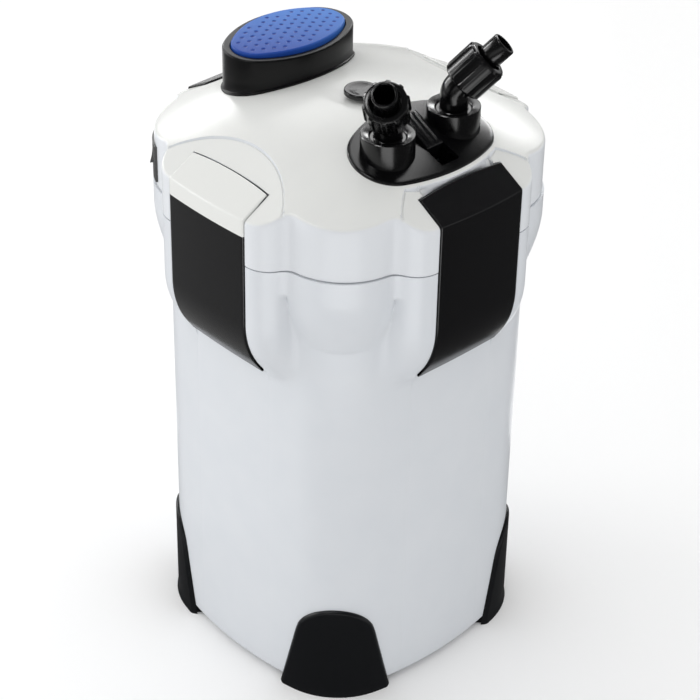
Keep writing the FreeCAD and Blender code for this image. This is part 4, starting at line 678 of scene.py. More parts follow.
def levelRow(columns, z, distance, start=form["outside"]):
    # the outline at a height: how far out along each column the solid's side lies
    along = np.broadcast_to(start, columns[0].shape[:1]).astype(float)
    inward = np.concatenate([-columns[1], np.zeros((len(columns[1]), 1))], 1)
    return along - reach(upRay(columns, along, z), inward, distance)


def topRow(columns, along, distance):
    # the solid's top over points of the columns
    return drop(upRay(columns, along, raysFrom), distance)


def corePatch(steps, z):
    # the middle square as a level grid
    x, y = np.meshgrid(steps, steps, indexing="ij")
    return np.stack([x, y, np.full(x.shape, float(z))], -1)


# barrel

barrel = {
    "low": 6, "floor": 10, "wall": 3.5, "mouthWall": 1.7, "mouthDepth": 9.5, "edge": 3,
    "flareCentre": 68, "flareLow": 41.2, "flareRound": 52, "flareTop": 380,
    # the flared panel of a corner: lower edge, half width and how far it stands proud
    "panelLow": 334, "panelHalf": 37, "panelProud": 3,
    "recessFace": 136.1, "recessCurve": 78.6, "recessMiddle": 57.5, "recessLeft": 0.2,
    "pocketBack": 121.5, "pocketLow": 359,
    "ledgeOut": 126, "ledgeMiddle": 380, "ledgeHalf": 3,
    "footRow": 20, "straightTo": 290, "curvedFrom": 297, "rowStep": 1.6,   # heights of the outer rows
    "innerRow": 200,
}


def barrelDistance(p):
    # bulged square, a flared round panel on each corner, a lobe on each side, less recess and hook pocket
    u, t = outAndAside(p)
    z = p[..., 2]
    outline = bulgedSquare(p[..., 0], p[..., 1])
    along = np.minimum((u - t) / math.sqrt(2), 40) / barrel["panelHalf"]
    edge = np.minimum(barrel["panelLow"] + 3 * along ** 2 + 20 * along ** 14, barrel["flareTop"] - 4)
    rise = np.clip((z - edge) / (barrel["flareTop"] - edge), 0, 1)
    step = np.clip((z - edge + 1.5) / 3, 0, 1)
    growth = (barrel["flareRound"] - barrel["flareLow"]) * (1.4 * rise - 0.4 * rise ** 3)
    radius = barrel["flareLow"] + growth - barrel["panelProud"] * (1 - step * step * (3 - 2 * step))
    flare = np.hypot(u - barrel["flareCentre"], t - barrel["flareCentre"]) - radius
    shape = smoothMin(smoothMin(outline, flare, 3), lobeDistance(u, t, z), form["valley"])
    below = np.clip(form["lobeBend"] - z, 0, barrel["recessCurve"])
    back = np.where(z > form["lobeBend"], barrel["recessFace"],
                    barrel["recessMiddle"] + np.sqrt(barrel["recessCurve"] ** 2 - below ** 2))
    shape = smoothMax(shape, -largest(t - slotHalf, back - u, barrel["recessLeft"] - outline), 0.8)
    ledge = np.maximum(u - barrel["ledgeOut"], np.abs(z - barrel["ledgeMiddle"]) - barrel["ledgeHalf"])
    pocket = largest(t - form["hookHalf"], barrel["pocketBack"] - u, barrel["pocketLow"] - z, -ledge)
    return smoothMax(shape, -pocket, 0.5)


def makeBarrel(columns):
    # outer rows from the seam down to the floor's middle, inner rows from there up to the mouth
    top = form["seam"] - form["seamGap"] / 2
    low, edge, floor, footRow = [barrel[key] for key in ("low", "edge", "floor", "footRow")]
    steps = [barrel["ledgeMiddle"] + s * barrel["ledgeHalf"] for s in (-1, 1)] + [barrel["pocketLow"]]
    heights = np.concatenate([np.arange(barrel["curvedFrom"], top, barrel["rowStep"]), [top, top - 0.3],
                              [z + s for z in steps for s in (-beside, beside)],
                              np.linspace(footRow, barrel["straightTo"], 11)])
    outer = [upRay(columns, levelRow(columns, z, barrelDistance), z)
             for z in np.unique(np.round(heights, 3))[::-1]]
    foot = levelRow(columns, footRow, barrelDistance)
    outer += [upRay(columns, foot - edge + edge * math.cos(a), low + edge - edge * math.sin(a))
              for a in quarter(6)]
    outer += [upRay(columns, foot * share, low) for share in (0.9, 0.5, 0.15, 0)]

    mouth, wall = [levelRow(columns, floor, lambda p: bulgedSquare(p[..., 0], p[..., 1], barrel[inset]))
                   for inset in ("mouthWall", "wall")]
    shelf = top - barrel["mouthDepth"]
    inner = [upRay(columns, along, z) for along, z in (
        (0 * wall, floor), (wall * 0.5, floor), (wall, floor), (wall, barrel["innerRow"]), (wall, shelf),
        (mouth, shelf), (mouth, top))]
    piece = makeMesh("barrelShell", (np.stack(inner + outer), True), (corePatch(columns[3], low), False),
                     (corePatch(columns[3], floor), False))
    finishPiece(piece, plain["barrel_abs"], "root", "barrel")


# head cover

head = {
    "domeMiddle": 152.5, "domeRadius": 325,
    "facetHeight": 436.7, "facetAngle": math.radians(29),
    "arcMiddle": 175, "arcRadius": 82,      # the round upper edge of a facet, from above
    "groove": 0.8,
    "pivotOut": 131, "pivotHeight": 434,    # hinge pin of a latch handle
    "swing": 21.8, "swingBow": 2.5,         # room for the end of the handle's bevel, more in the middle
    "lipOut": 115,          # the grid turns down into a pocket about here
    "wall": 3, "linerBack": 105.2, "innerRow": 415,
    "edge": 2.4, "edgeDepth": 4,            # the rows round the edge turn about this depth inside it
    "edgeRays": (9, 14), "rowGap": 0.05,    # their rays' lengths at a pocket and elsewhere
    "scoop": (3, -4, 21, 16, 2.0),          # finger scoop under the lever's tab: x, y, half lengths, depth
    "creaseRows": np.array([0.15, 0.45, 0.75, 1.05, 1.5, 2.2]),     # rows on both sides of a facet's edge
    "portGap": 0.3, "portCut": (-1.5, 8),   # room round the valve's plate, and its heights over the dome
    "housingRoom": ((54.5, 95.5), 50), "leverRoom": ((90, 108.5), 14), "roomHeights": (401, 490),
    "rodHole": 8, "rodHeights": (420, 490),
}
valve = {"x": 76, "halfWidth": 37, "halfLength": 62, "endRound": 31, "lip": 3, "portX": 75, "portY": 33}
primerX = -69


def domeHeight(x, y):
    return head["domeMiddle"] + np.sqrt(head["domeRadius"] ** 2 - x ** 2 - y ** 2)


def onDome(plan, lift=0):
    # the points of a plan on the dome, or a lift above it
    return atHeight(plan, domeHeight(*plan.T) + lift)


def domeDistance(p):
    x, y, z = p[..., 0], p[..., 1], p[..., 2] - head["domeMiddle"]
    return np.sqrt(x ** 2 + y ** 2 + z ** 2) - head["domeRadius"]


def facetPlane(u, z):
    # distance above the slope of a facet
    fall = (form["lobeOut"] - u) * math.tan(head["facetAngle"])
    return (z - head["facetHeight"] - fall) * math.cos(head["facetAngle"])


def facetZone(p):
    # positive where the dome gives way to a facet: inside the facet's arc and outside the valve's pedestal
    x, y, lip = p[..., 0], p[..., 1], valve["lip"]
    u, t = outAndAside(p)
    zone = head["arcRadius"] - np.hypot(u - head["arcMiddle"], t)
    pedestal = ovalDistance(x - valve["x"], y, valve["halfWidth"] + lip, valve["halfLength"] + lip,
                            valve["endRound"] + lip)
    return np.where(x > np.abs(y), np.minimum(zone, pedestal), zone)


def headDistance(p):
    # plan with lobes, a spherical dome, four sloping facets with a groove round each, and the latch pockets
    x, y, z = p[..., 0], p[..., 1], p[..., 2]
    u, t = outAndAside(p)
    plan = smoothMin(boxDistance(x, y, form["headHalf"], form["headHalf"], form["headRound"]),
                     lobeDistance(u, t, form["seam"]), form["valley"])
    scoopX, scoopY, halfX, halfY, depth = head["scoop"]
    scoop = depth * np.exp(-(((x - scoopX) / halfX) ** 2 + ((y - scoopY) / halfY) ** 2) ** 2)
    plane, zone = facetPlane(u, z), facetZone(p)
    top = smoothMax(domeDistance(p) + scoop, np.minimum(plane, zone), 1.0)
    top = np.maximum(top, head["groove"] - np.hypot(zone, plane))
    shape = smoothMax(plan, top, head["edge"])
    swing = head["swing"] + head["swingBow"] * np.clip(1 - (t / form["latchHalf"]) ** 2, 0, 1)
    below = np.maximum(head["pivotOut"] - swing - u, z - head["pivotHeight"])
    pocket = np.minimum(below, np.hypot(u - head["pivotOut"], z - head["pivotHeight"]) - swing)
    return smoothMax(shape, -np.maximum(t - slotHalf, pocket), 0.5)


def cavityDistance(p):
    # the room under the cover, with a liner left round each latch pocket
    u, t = outAndAside(p)
    wall = head["wall"]
    half = form["headHalf"] - wall
    plan = boxDistance(p[..., 0], p[..., 1], half, half, form["headRound"] - wall)
    liner = np.maximum(t - slotHalf - wall, head["linerBack"] - u)
    return largest(plan, domeDistance(p) + wall, facetPlane(u, p[..., 2]) + wall, -liner)


def makeCover(columns):
    # rows out over the dome and the facets, round the edge on rays from its middle, down, and back inside
    low = form["seam"] + form["seamGap"] / 2
    base, way, inSlot, steps = columns
    aside = np.abs(base[:, 0] * way[:, 1] - base[:, 1] * way[:, 0])
    bowed = np.clip(1 - (aside / form["latchHalf"]) ** 2, 0, 1)
    lip = head["lipOut"] - 1.2 * head["swingBow"] * bowed - form["core"]
    end = np.where(inSlot, lip, levelRow(columns, form["gridHeight"], headDistance))
    turnAt = end - head["edgeDepth"]
    flat = np.concatenate([way, np.zeros((len(way), 1))], 1)
    crease = end - np.clip(reach(upRay(columns, end, 0), -flat, facetZone), 0, None)
    offsets = head["creaseRows"]
    near, far = crease - offsets[-1], crease + offsets[-1]
    plans = [near * share for share in np.linspace(0, 1, 15)[:-1]]
    plans += [crease + offset for offset in (*-offsets[::-1], *offsets)]
    plans += [far + (turnAt - far) * share for share in np.linspace(0, 1, 11)[1:-1]]
    rows = [topRow(columns, np.minimum(plan, turnAt - head["rowGap"] * (len(plans) - i)), headDistance)
            for i, plan in enumerate(plans)]
    middle = topRow(columns, turnAt, headDistance)
    middle[:, 2] -= head["edgeDepth"]
    length = np.where(inSlot, *head["edgeRays"])[:, None]
    for turn in quarter(14)[::-1]:
        ray = flat * math.cos(turn) - down * math.sin(turn)
        start = middle + ray * length
        rows.append(start - ray * reach(start, -ray, headDistance)[:, None])
    start = np.where(inSlot, head["pivotOut"] - form["core"], end + 20)
    for share in np.linspace(0, 1, 13)[1:]:
        z = middle[:, 2] + (low - middle[:, 2]) * share
        rows.append(upRay(columns, levelRow(columns, z, headDistance, start), z))
    room = levelRow(columns, low, cavityDistance)
    rows += [upRay(columns, room, z) for z in (low, head["innerRow"])]
    rows += [topRow(columns, room * share, cavityDistance)
             for share in (0.97, 0.85, 0.7, 0.55, 0.4, 0.25, 0.1, 0)]
    patches = [(drop(corePatch(steps, raysFrom), solid), False) for solid in (headDistance, cavityDistance)]
    piece = makeMesh("headShell", (np.stack(rows), True), *patches)
    gap = head["portGap"]
    ring = ovalRing(valve["halfWidth"] + gap, valve["halfLength"] + gap, valve["endRound"], 160)[0]
    port = np.stack([onDome(ring + np.array([valve["x"], 0]), lift) for lift in head["portCut"]])
    rod = revolve([(head["rodHole"], z) for z in head["rodHeights"]], primerX)
    boxes = [makeMesh(key, boxGrid(*head[key], head["roomHeights"]))
             for key in ("housingRoom", "leverRoom")]
    combine(piece, "DIFFERENCE", 32, makeMesh("portCut", (port, True, "start", "end")), *boxes,
            makeMesh("rodCut", (*rod, "start", "end")))
    finishPiece(piece, coverPaintedLight, "root", "head_cover")


# latch handles

latch = {
    "half": 41, "edge": 1.1,
    "outerCurve": (68.5, 73.5), "innerCurve": (57.5, 80),   # of the two faces: middle and radius
    "bend": 350, "curvedShare": 0.955,
    "tip": (121.8, 299.4), "tipBead": 1.4,
    "bead": (1.5, 2, 3, 0.35),      # thickening above the tip: where from the tip, how wide, how much
    "bevelTop": (117.95, 450.73), "bevelFoot": (142, 437.4),
    "innerTop": (115.77, 446.8), "innerFoot": (137.5, 434.75),
    "bulge": 1.5, "bow": 2.5, "bowRise": 1.3, "bowAbove": 430,
    "pivot": (131, 434), "hinge": 2.08,
    "eye": (123, 433), "eyeRound": 5, "axle": 2, "axleHalf": 17,
    "web": (16, 20), "webMiddle": (130.7, 433.1), "webHalf": (7.7, 4.1), "webEdge": 0.5,
}


def latchOutline():
    # the handle's section: bevel, flat face, a long curl in to the tip and back along the inner face
    def curve(middle, radius):
        full = math.asin((latch["bend"] - latch["tip"][1]) / radius)
        return [(middle + radius * math.cos(a), latch["bend"] - radius * math.sin(a), 0)
                for a in full * np.linspace(0, latch["curvedShare"], 30)]
    return filletPath([(*latch["bevelTop"], 1.3), (*latch["bevelFoot"], 2.5), *curve(*latch["outerCurve"]),
                       (*latch["tip"], latch["tipBead"]), *curve(*latch["innerCurve"])[::-1],
                       (*latch["innerFoot"], 1), (*latch["innerTop"], 1.3)], 1.2)


def handleGrid():
    # the section carried across, its corners rounded, its face bulged, its bevel's end bowed to the dome
    outline = latchOutline()
    u, z = outline.T
    stations, drawn = edgeStations(latch["half"], latch["edge"], 4, 36)
    out, up, spread, thick = latch["bead"]
    bead = thick * np.exp(-np.hypot(u - latch["tip"][0] - out, z - latch["tip"][1] - up) ** 2 / spread ** 2)
    points = across(outline, stations, bead[None] - drawn[:, None])
    curve = (stations / latch["half"])[:, None] ** 2
    top, foot = latch["bevelTop"][0], latch["bevelFoot"][0]
    upper = (z > latch["bowAbove"]) * np.clip((foot - u) / (foot - top), 0, 1) ** 1.5
    bow = (1 - curve) * upper[None]
    points[..., 0] -= latch["bulge"] * curve * np.clip(outwardNormals(outline)[:, 0], 0, 1)[None]
    points[..., 0] -= latch["bow"] * bow
    points[..., 2] += latch["bowRise"] * bow
    return points


def webGrid(side):
    # a web with an eye for the hook's axle, as rays about the hinge pin's hole
    angle = around(96)
    way = np.stack([np.cos(angle), np.sin(angle)], 1)
    pivot = np.array(latch["pivot"])

    def outline(p):
        eye = np.hypot(*np.moveaxis(p - np.array(latch["eye"]), -1, 0)) - latch["eyeRound"]
        plate = boxDistance(*np.moveaxis(p - np.array(latch["webMiddle"]), -1, 0), *latch["webHalf"])
        return smoothMin(eye, plate, 1.5)
    rim = pivot + way * 25
    rim = rim - way * reach(rim, -way, outline, 90)[:, None]
    hole = pivot + way * latch["hinge"]
    drawn = rim - way * latch["webEdge"]
    near, far = [side * w for w in latch["web"]]
    step = latch["webEdge"] * side
    return np.stack([np.stack([plan[:, 0], 0 * angle + t, plan[:, 1]], 1) for plan, t in (
        (hole, near), (drawn, near), (rim, near + step), (rim, far - step), (drawn, far), (hole, far),
        (hole, near))])


def makeHandles():
    axle = lyingCylinder(*latch["eye"], latch["axle"], latch["axleHalf"], 32)
    parts = [(handleGrid(), True, "start", "end"), (webGrid(1), True), (webGrid(-1), True), axle]
    for side, degrees, material in (("right", 0, plain["black_abs"]), ("back", 90, twoTone),
                                    ("left", 180, plain["black_abs"]), ("front", 270, twoTone)):
        placed = [(turned(grid, degrees), *ends) for grid, *ends in parts]
        piece = makeMesh("handle" + side.capitalize(), *placed, sharp=40)
        finishPiece(piece, material, "handle_" + side, "latch_handle_" + side)


# feet

foot = {
    "halfLow": 43.97, "lean": 0.1989, "archMiddle": 57, "arch": 32, "meet": 63.2,
    "gap": 0.15, "thick": 3, "rim": 2.2, "flare": 1.0, "flareHeight": 9,
    "padIn": 96, "padTop": 5.9, "padInset": 2.5, "padOut": 1, "outside": 175,
}


def footGrids(degrees):
    # a shield-shaped skin that follows the barrel's corner, its rim rounded, and a pad under the barrel
    arch, archMiddle, gap = foot["arch"], foot["archMiddle"], foot["gap"]
    z = np.concatenate([np.linspace(0, 8, 7), np.linspace(10, foot["meet"] - 1, 26),
                        archMiddle + arch * np.sin(quarter(26)[6:])])
    z = np.unique(np.round(z, 4))
    half = np.where(z < foot["meet"], foot["halfLow"] - foot["lean"] * z,
                    np.sqrt(np.clip(arch ** 2 - (z - archMiddle) ** 2, 0, None)))
    w = half[:, None] * np.sin(np.linspace(-1, 1, 61) * math.pi / 2)[None]
    z = z[:, None] + 0 * w
    slant = (foot["halfLow"] - foot["lean"] * z - np.abs(w)) * math.cos(math.atan(foot["lean"]))
    rim = np.where(z < foot["meet"], slant, arch - np.hypot(w, z - archMiddle))
    rise = np.sqrt(np.clip(1 - (1 - np.clip(rim / foot["rim"], 0, 1)) ** 2, 0, 1))
    flare = foot["flare"] * np.clip(1 - z / foot["flareHeight"], 0, 1) ** 2
    diagonal, aside = np.array([[1, 1, 0], [-1, 1, 0]]) / math.sqrt(2)

    def onBarrel(w, z, offset):
        start = foot["outside"] * diagonal + w[..., None] * aside - z[..., None] * down
        gone = reach(start, -diagonal, lambda p: bulgedSquare(p[..., 0], p[..., 1]) - offset, 60)
        return start - diagonal * gone[..., None]
    outer = onBarrel(w, z, gap + (foot["thick"] - gap + flare) * rise)
    skin = np.concatenate([outer, onBarrel(w, z, 0 * w + gap)[::-1], outer[:1]])
    w = np.linspace(-1, 1, 40) * (foot["halfLow"] - foot["padInset"])
    edge = onBarrel(w, 0 * w, 0 * w + foot["padOut"])
    back = edge - diagonal * ((edge @ diagonal) - foot["padIn"])[:, None]
    lift = -down * foot["padTop"]
    pad = np.stack([edge, edge + lift, back + lift, back, edge])
    return [(turned(grid, degrees), False) for grid in (skin, pad)]


def makeFeet():
    for name, degrees in (("back_right", 0), ("back_left", 90), ("front_left", 180), ("front_right", 270)):
        title = name.replace("_", " ").title().replace(" ", "")
        piece = makeMesh("foot" + title, *footGrids(degrees), sharp=50, close=True)
        finishPiece(piece, plain["foot_rubber"], "root", "foot_" + name)


# primer: oval collar and button

primer = {
    "halfWidth": 37, "halfLength": 57, "endRound": 27, "top": 497, "wall": 6, "rim": 1.5,
    "flange": 1.5, "flangeHeight": 2, "flangeEdge": 0.8, "floor": 476.5, "rod": 7, "seat": 0.05,
    "button": (30.5, 50.5, 20.5),           # half width, half length, end
    "crown": 600, "buttonTop": 501.5, "buttonLow": 489, "buttonEdge": 1.6, "hollow": 3, "hollowTop": 496,
    "crownFrom": 498, "dimplePitch": 8.2, "dimpleRadius": 1.75, "dimpleDepth": 0.55, "dimpleMargin": 4.5,
}
primerMiddle = np.array([primerX, 0])


def makeCollar():
    # profile of (out from the oval, height) up the outside and down the inside, then a floor with a hole
    top, wall, floor, rim = primer["top"], primer["wall"], primer["floor"], primer["rim"]
    flange, edge, seat = primer["flange"], primer["flangeEdge"], primer["seat"]
    ring, normals = ovalRing(primer["halfWidth"], primer["halfLength"], primer["endRound"], 240)
    foot, waist = [onDome(ring + normals * out + primerMiddle)[:, 2] for out in (flange, 0)]
    waist = waist + primer["flangeHeight"]
    profile = [(flange - 0.4, foot + seat), *rounding(flange, foot + primer["flangeHeight"], edge)[:5],
               (0.25, waist + 0.1), (0, waist + 0.45)]
    profile += [(0, waist * (1 - share) + (top - rim) * share) for share in (0.33, 0.66)]
    profile += rounding(0, top, rim, 6)
    profile += [(1 - wall - math.sin(a), top - 1 + math.cos(a)) for a in quarter(5)] + [(-wall, floor)]
    rows = [atHeight(ring + normals * out + primerMiddle, z) for out, z in profile]
    inner = ring - normals * wall
    hole = inner / np.linalg.norm(inner, axis=1)[:, None] * primer["rod"]
    plans = [inner * (1 - share) + hole * share + primerMiddle for share in (0.4, 0.8, 1, 0.7, 0.35)]
    rows += [atHeight(plan, floor) for plan in plans[:3]] + [onDome(plan, seat) for plan in plans[2:]]
    piece = makeMesh("primerCollar", (np.stack(rows + rows[:1]), True), sharp=40)
    finishPiece(piece, dullBlack, "root", "primer_collar")


def dimples(plan):
    # how deep the crown is dented: small round dents in staggered rows, none near the edge
    pitch, row = primer["dimplePitch"], primer["dimplePitch"] * math.sqrt(3) / 2
    x, y = plan.T
    away = np.full(len(plan), np.inf)
    for phase in (0, 1):
        middleX = (np.round(x / pitch - phase / 2) + phase / 2) * pitch
        middleY = (np.round((y / row - phase) / 2) * 2 + phase) * row
        inside = ovalDistance(middleX, middleY, *primer["button"]) < -primer["dimpleMargin"]
        away = np.minimum(away, np.where(inside, np.hypot(x - middleX, y - middleY), np.inf))
    return np.clip(1 - (away / primer["dimpleRadius"]) ** 2, 0, 1) ** 0.8


def makeButton():
    # a shallow dome with dents, a round edge, a straight side and a hollow under it
    ring, normals = ovalRing(*primer["button"], 360)
    edge, low, hollowTop = primer["buttonEdge"], primer["buttonLow"], primer["hollowTop"]
    inner, hollow = ring - normals * edge, ring - normals * primer["hollow"]

    def crown(plan):
        return primer["buttonTop"] - (plan ** 2).sum(1) / (2 * primer["crown"])
    rows = [(inner * share, crown(inner * share) - primer["dimpleDepth"] * dimples(inner * share))
            for share in np.linspace(0, 1, 70)]
    rows += [(inner + normals * edge * math.sin(a), crown(inner) - edge + edge * math.cos(a))
             for a in quarter(7)[1:]]
    rows += [(ring, low), (hollow, low), (hollow, hollowTop), (hollow * 0, hollowTop)]
    grid = np.stack([atHeight(plan + primerMiddle, z) for plan, z in rows])
    piece = makeMesh("primerButton", (grid, True), sharp=50)
    # each point keeps the depth of its dent, which the button's finish uses for painted shade
    place = np.empty(len(piece.data.vertices) * 3)
    piece.data.vertices.foreach_get("co", place)
    place = place.reshape(-1, 3) / mm
    depth = dimples(place[:, :2] - primerMiddle) * (place[:, 2] > primer["crownFrom"])
    piece.data.attributes.new("dimple", "FLOAT", "POINT").data.foreach_set("value", depth)
    finishPiece(piece, plain["blue_button"], "primer", "primer_button")


spring = {"radius": 11, "wire": 0.8, "low": 477.4, "high": 495.1, "turns": 4, "pressed": 10}


def makeSpring():
    # a coil that is pressed between the collar's floor and the button
    whole = 2 * math.pi * spring["turns"]
    turn = np.linspace(0, whole, 320)[:, None]
    length = spring["high"] - spring["low"]
    out = np.concatenate([np.cos(turn), np.sin(turn), 0 * turn], 1)
    ahead = np.concatenate([-spring["radius"] * np.sin(turn), spring["radius"] * np.cos(turn),
                            0 * turn + length / whole], 1)
    up = np.cross(out, ahead / np.linalg.norm(ahead, axis=1)[:, None])
    centre = out * spring["radius"] - down * (spring["low"] + turn * length / whole) + [primerX, 0, 0]
    angle = around(14)[None, :, None]
    rows = centre[:, None] + spring["wire"] * (out[:, None] * np.cos(angle) + up[:, None] * np.sin(angle))
    piece = makeMesh("primerSpring", (rows, True, "start", "end"), sharp=60)
    finishPiece(piece, plain["steel"], "primer", "primer_spring")
    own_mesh(piece)


# valve block

block = {
    "plateTop": 1.8, "plateLow": -1.3, "plateEdge": 1.0,    # over the dome
    "sleeve": 20, "sleeveTop": 483, "sleeveRim": 19.2, "sleeveLow": 441,
    "mouth": 14.2, "mouthDrop": 1.9, "mouthLow": 477.6, "socket": 12.5, "socketLow": 461.5,
    "water": 7.5, "waterLow": 400,
    "housing": (56, 94, 48, 431),           # from x to x, half width, low
    "spigot": 12, "spigotLow": 406.5, "spigotTop": 436, "groove": (11.2, 1.05, 411.5),
    "spindle": 12.08, "spindleHalf": 46.5, "spindleHeight": 446,
    "slot": ((60, 106.6), 8.8, (425, 480)),
}


def ringGroove(face, groove, count):
    # the part of a round O-ring groove (middle, radius, height) behind a face, from below to above
    middle, radius, height = groove
    limit = math.acos((face - middle) / radius)
    return [(middle + radius * math.cos(a), height + radius * math.sin(a))
            for a in np.linspace(-limit, limit - 2 * math.pi, count)]


def housingGrid():
    # a box closed below, whose top follows the dome
    left, right, half, low = block["housing"]
    share = np.linspace(-1, 1, 25)[:-1]
    side = np.concatenate([np.stack([share, share * 0 - 1], 1), np.stack([share * 0 + 1, share], 1)])
    outline = np.concatenate([side, -side]) * np.array([(right - left) / 2, half])
    centre = np.array([(right + left) / 2, 0])
    return np.stack([atHeight(outline * s + centre, low) for s in (0, 1)]
                    + [onDome(outline * s + centre) for s in np.linspace(1, 0, 14)])


def makeValveBlock():
    # the plate as rows over the dome; sleeves, spigots and housing joined to it; ports and rooms cut out
    ring, normals = ovalRing(valve["halfWidth"], valve["halfLength"], valve["endRound"], 240)
    low, top, edge = block["plateLow"], block["plateTop"], block["plateEdge"]
    plate = [(0, low, share) for share in (0, 0.3, 0.6, 1)]
    plate += [(-edge + edge * math.cos(a), top - edge + edge * math.sin(a), 1) for a in quarter(5)]
    plate += [(-edge, top, share) for share in np.linspace(1, 0, 26)[1:]]
    rows = [onDome((ring + normals * out) * share + np.array([valve["x"], 0]), lift)
            for out, lift, share in plate]
    piece = makeMesh("valveBlock", (np.stack(rows), True))
    top, low, wide, rim = block["sleeveTop"], block["sleeveLow"], block["sleeve"], block["sleeveRim"]
    mouth, socket, water = block["mouth"], block["socket"], block["water"]
    spigot, spigotLow, spigotTop = block["spigot"], block["spigotLow"], block["spigotTop"]
    profiles = {
        "sleeve": [(0, low), (wide, low), (wide, top - 0.5), (wide - 0.5, top), (wide - 1, top), (0, top)],
        "spigot": [(0, spigotLow), (spigot - 0.6, spigotLow), (spigot, spigotLow + 0.6),
                   *ringGroove(spigot, block["groove"], 14), (spigot, spigotTop), (0, spigotTop)],
        "port": [(0, top + 1), (rim + 2, top + 1), (rim, top), (mouth, top - block["mouthDrop"]),
                 (mouth - 0.4, top - block["mouthDrop"] - 0.6), (mouth - 0.4, block["mouthLow"]),
                 (socket, block["mouthLow"] - 0.6), (socket, block["socketLow"]),
                 (water, block["socketLow"]), (water, block["waterLow"]), (0, block["waterLow"])],
    }
    tools = {name: [makeMesh(name, revolve(profile, valve["portX"], sign * valve["portY"], 96))
                    for sign in (1, -1)] for name, profile in profiles.items()}
    joined = [tool for pair in zip(tools["sleeve"], tools["spigot"]) for tool in pair]
    combine(piece, "UNION", 30, makeMesh("housing", (housingGrid(), True)), *joined)
    spindle = lyingCylinder(valve["portX"], block["spindleHeight"], block["spindle"], block["spindleHalf"])
    combine(piece, "DIFFERENCE", 30, *tools["port"], makeMesh("spindleRoom", spindle),
            makeMesh("leverSlot", boxGrid(*block["slot"])))
    finishPiece(piece, glossBlack, "root", "valve_block")


# valve lever

lever = {
    "outline": [(84, 446, 0), (88, 462, 3), (91, 468, 2), (62, 482.5, 5), (12, 482.5, 0), (12, 478.5, 0),
                (59, 478.5, 2), (64, 466, 3), (66, 446, 0)],
    "hub": (75, 446, 9), "half": 8, "edge": 0.9, "bore": 5.05,
    "ridges": (-4.6, 0, 4.6), "ridgeHeight": 1.1, "ridgeWidth": 0.85, "ridgeFrom": 62, "ridgeTo": 90,
    "tab": (12, 13), "tabHeights": (478.5, 482.5),          # its middle and radius
}


def makeLever():
    # the lever's section carried across, with ridges over its top, and a round tab at its end
    x, z, radius = lever["hub"]
    hub = [(x + radius * math.cos(a), z + radius * math.sin(a), 0)
           for a in np.linspace(-math.pi, 0, 25)[1:-1]]
    outline = filletPath(lever["outline"] + hub, 1.0)
    stations, drawn = edgeStations(lever["half"], lever["edge"], 3, 60)
    ridge = sum(np.exp(-((stations - place) / lever["ridgeWidth"]) ** 2) for place in lever["ridges"])
    top = (outwardNormals(outline)[:, 1] > 0.3) * np.clip((outline[:, 0] - lever["ridgeFrom"]) / 3, 0, 1)
    top = top * np.clip((lever["ridgeTo"] - outline[:, 0]) / 2, 0, 1)
    grid = across(outline, stations, lever["ridgeHeight"] * ridge[:, None] * top[None] - drawn[:, None])
    piece = makeMesh("valveLever", (grid, True, "start", "end"))
    combine(piece, "DIFFERENCE", 35, makeMesh("bore", lyingCylinder(x, z, lever["bore"], 20, 48)))
    x, tab = lever["tab"]
    low, high = lever["tabHeights"]
    profile = [(0, low), (tab - 0.6, low), (tab, low + 0.6), *rounding(tab, high, 1.2, 6),
               (9.4, high), (8.8, high - 0.25), (0, high - 0.25)]
    combine(piece, "UNION", 35, makeMesh("tab", revolve(profile, x, 0, 72)))
    finishPiece(piece, plain["black_abs"], "lever", "valve_lever")


# elbows and hose nuts

elbow = {
    "foot": 12.42, "footLow": 461.8, "footTop": 475.5,
    "collar": 13.4, "collarLow": 478.2, "collarHigh": 480.2,
    "neck": 10.5, "neckTop": 489, "bend": 496, "bendRadius": 12, "tilt": math.radians(44), "swivel": 50,
    "armEnd": 20, "waist": 8.9, "stub": 9.3, "stubEnd": 50, "water": 7.5, "groove": (11.4, 1.1, 466.5),
    "nutNear": 6, "nutFar": 34, "nut": 15.6, "bore": 10.6, "boreEnd": 20, "mouth": 11.3,
    "rib": 1.5, "ribs": 10, "ribHalf": 1.7,
    # a nut's shoulder: how far in from its end, how far out, share of the ribs
    "shoulder": ((0, -1.6, 0), (0.45, -0.5, 0), (1.4, 0, 0.15), (2.2, 0, 0.85), (3.2, 0, 1)),
}


def portPlace(rows, sign):
    # from an elbow's own frame, whose arm leans towards +X, to its port, swivelled outwards
    placed = turned(np.stack(rows), sign * elbow["swivel"])
    return placed + np.array([valve["portX"], sign * valve["portY"], 0])


def armRing(s, radius, angle):
    # a ring round the arm: s along it, the angle measured round it
    c, t = math.cos(elbow["tilt"]), math.sin(elbow["tilt"])
    side, up = radius * np.sin(angle), radius * np.cos(angle)
    return np.stack([s * t - up * c, side, elbow["bend"] + s * c + up * t], -1)


def kneeRings(radius, angle):
    # rings that turn about the inside of the bend, so that they never cross
    bend, rings = elbow["bendRadius"], []
    out, side = -radius * np.cos(angle), radius * np.sin(angle)
    for a in np.linspace(0, elbow["tilt"], 13):
        x = bend - bend * math.cos(a)
        z = elbow["bend"] - bend * math.tan(elbow["tilt"] / 2) + bend * math.sin(a)
        rings.append(np.stack([x + out * math.cos(a), side, z - out * math.sin(a)], -1))
    return rings


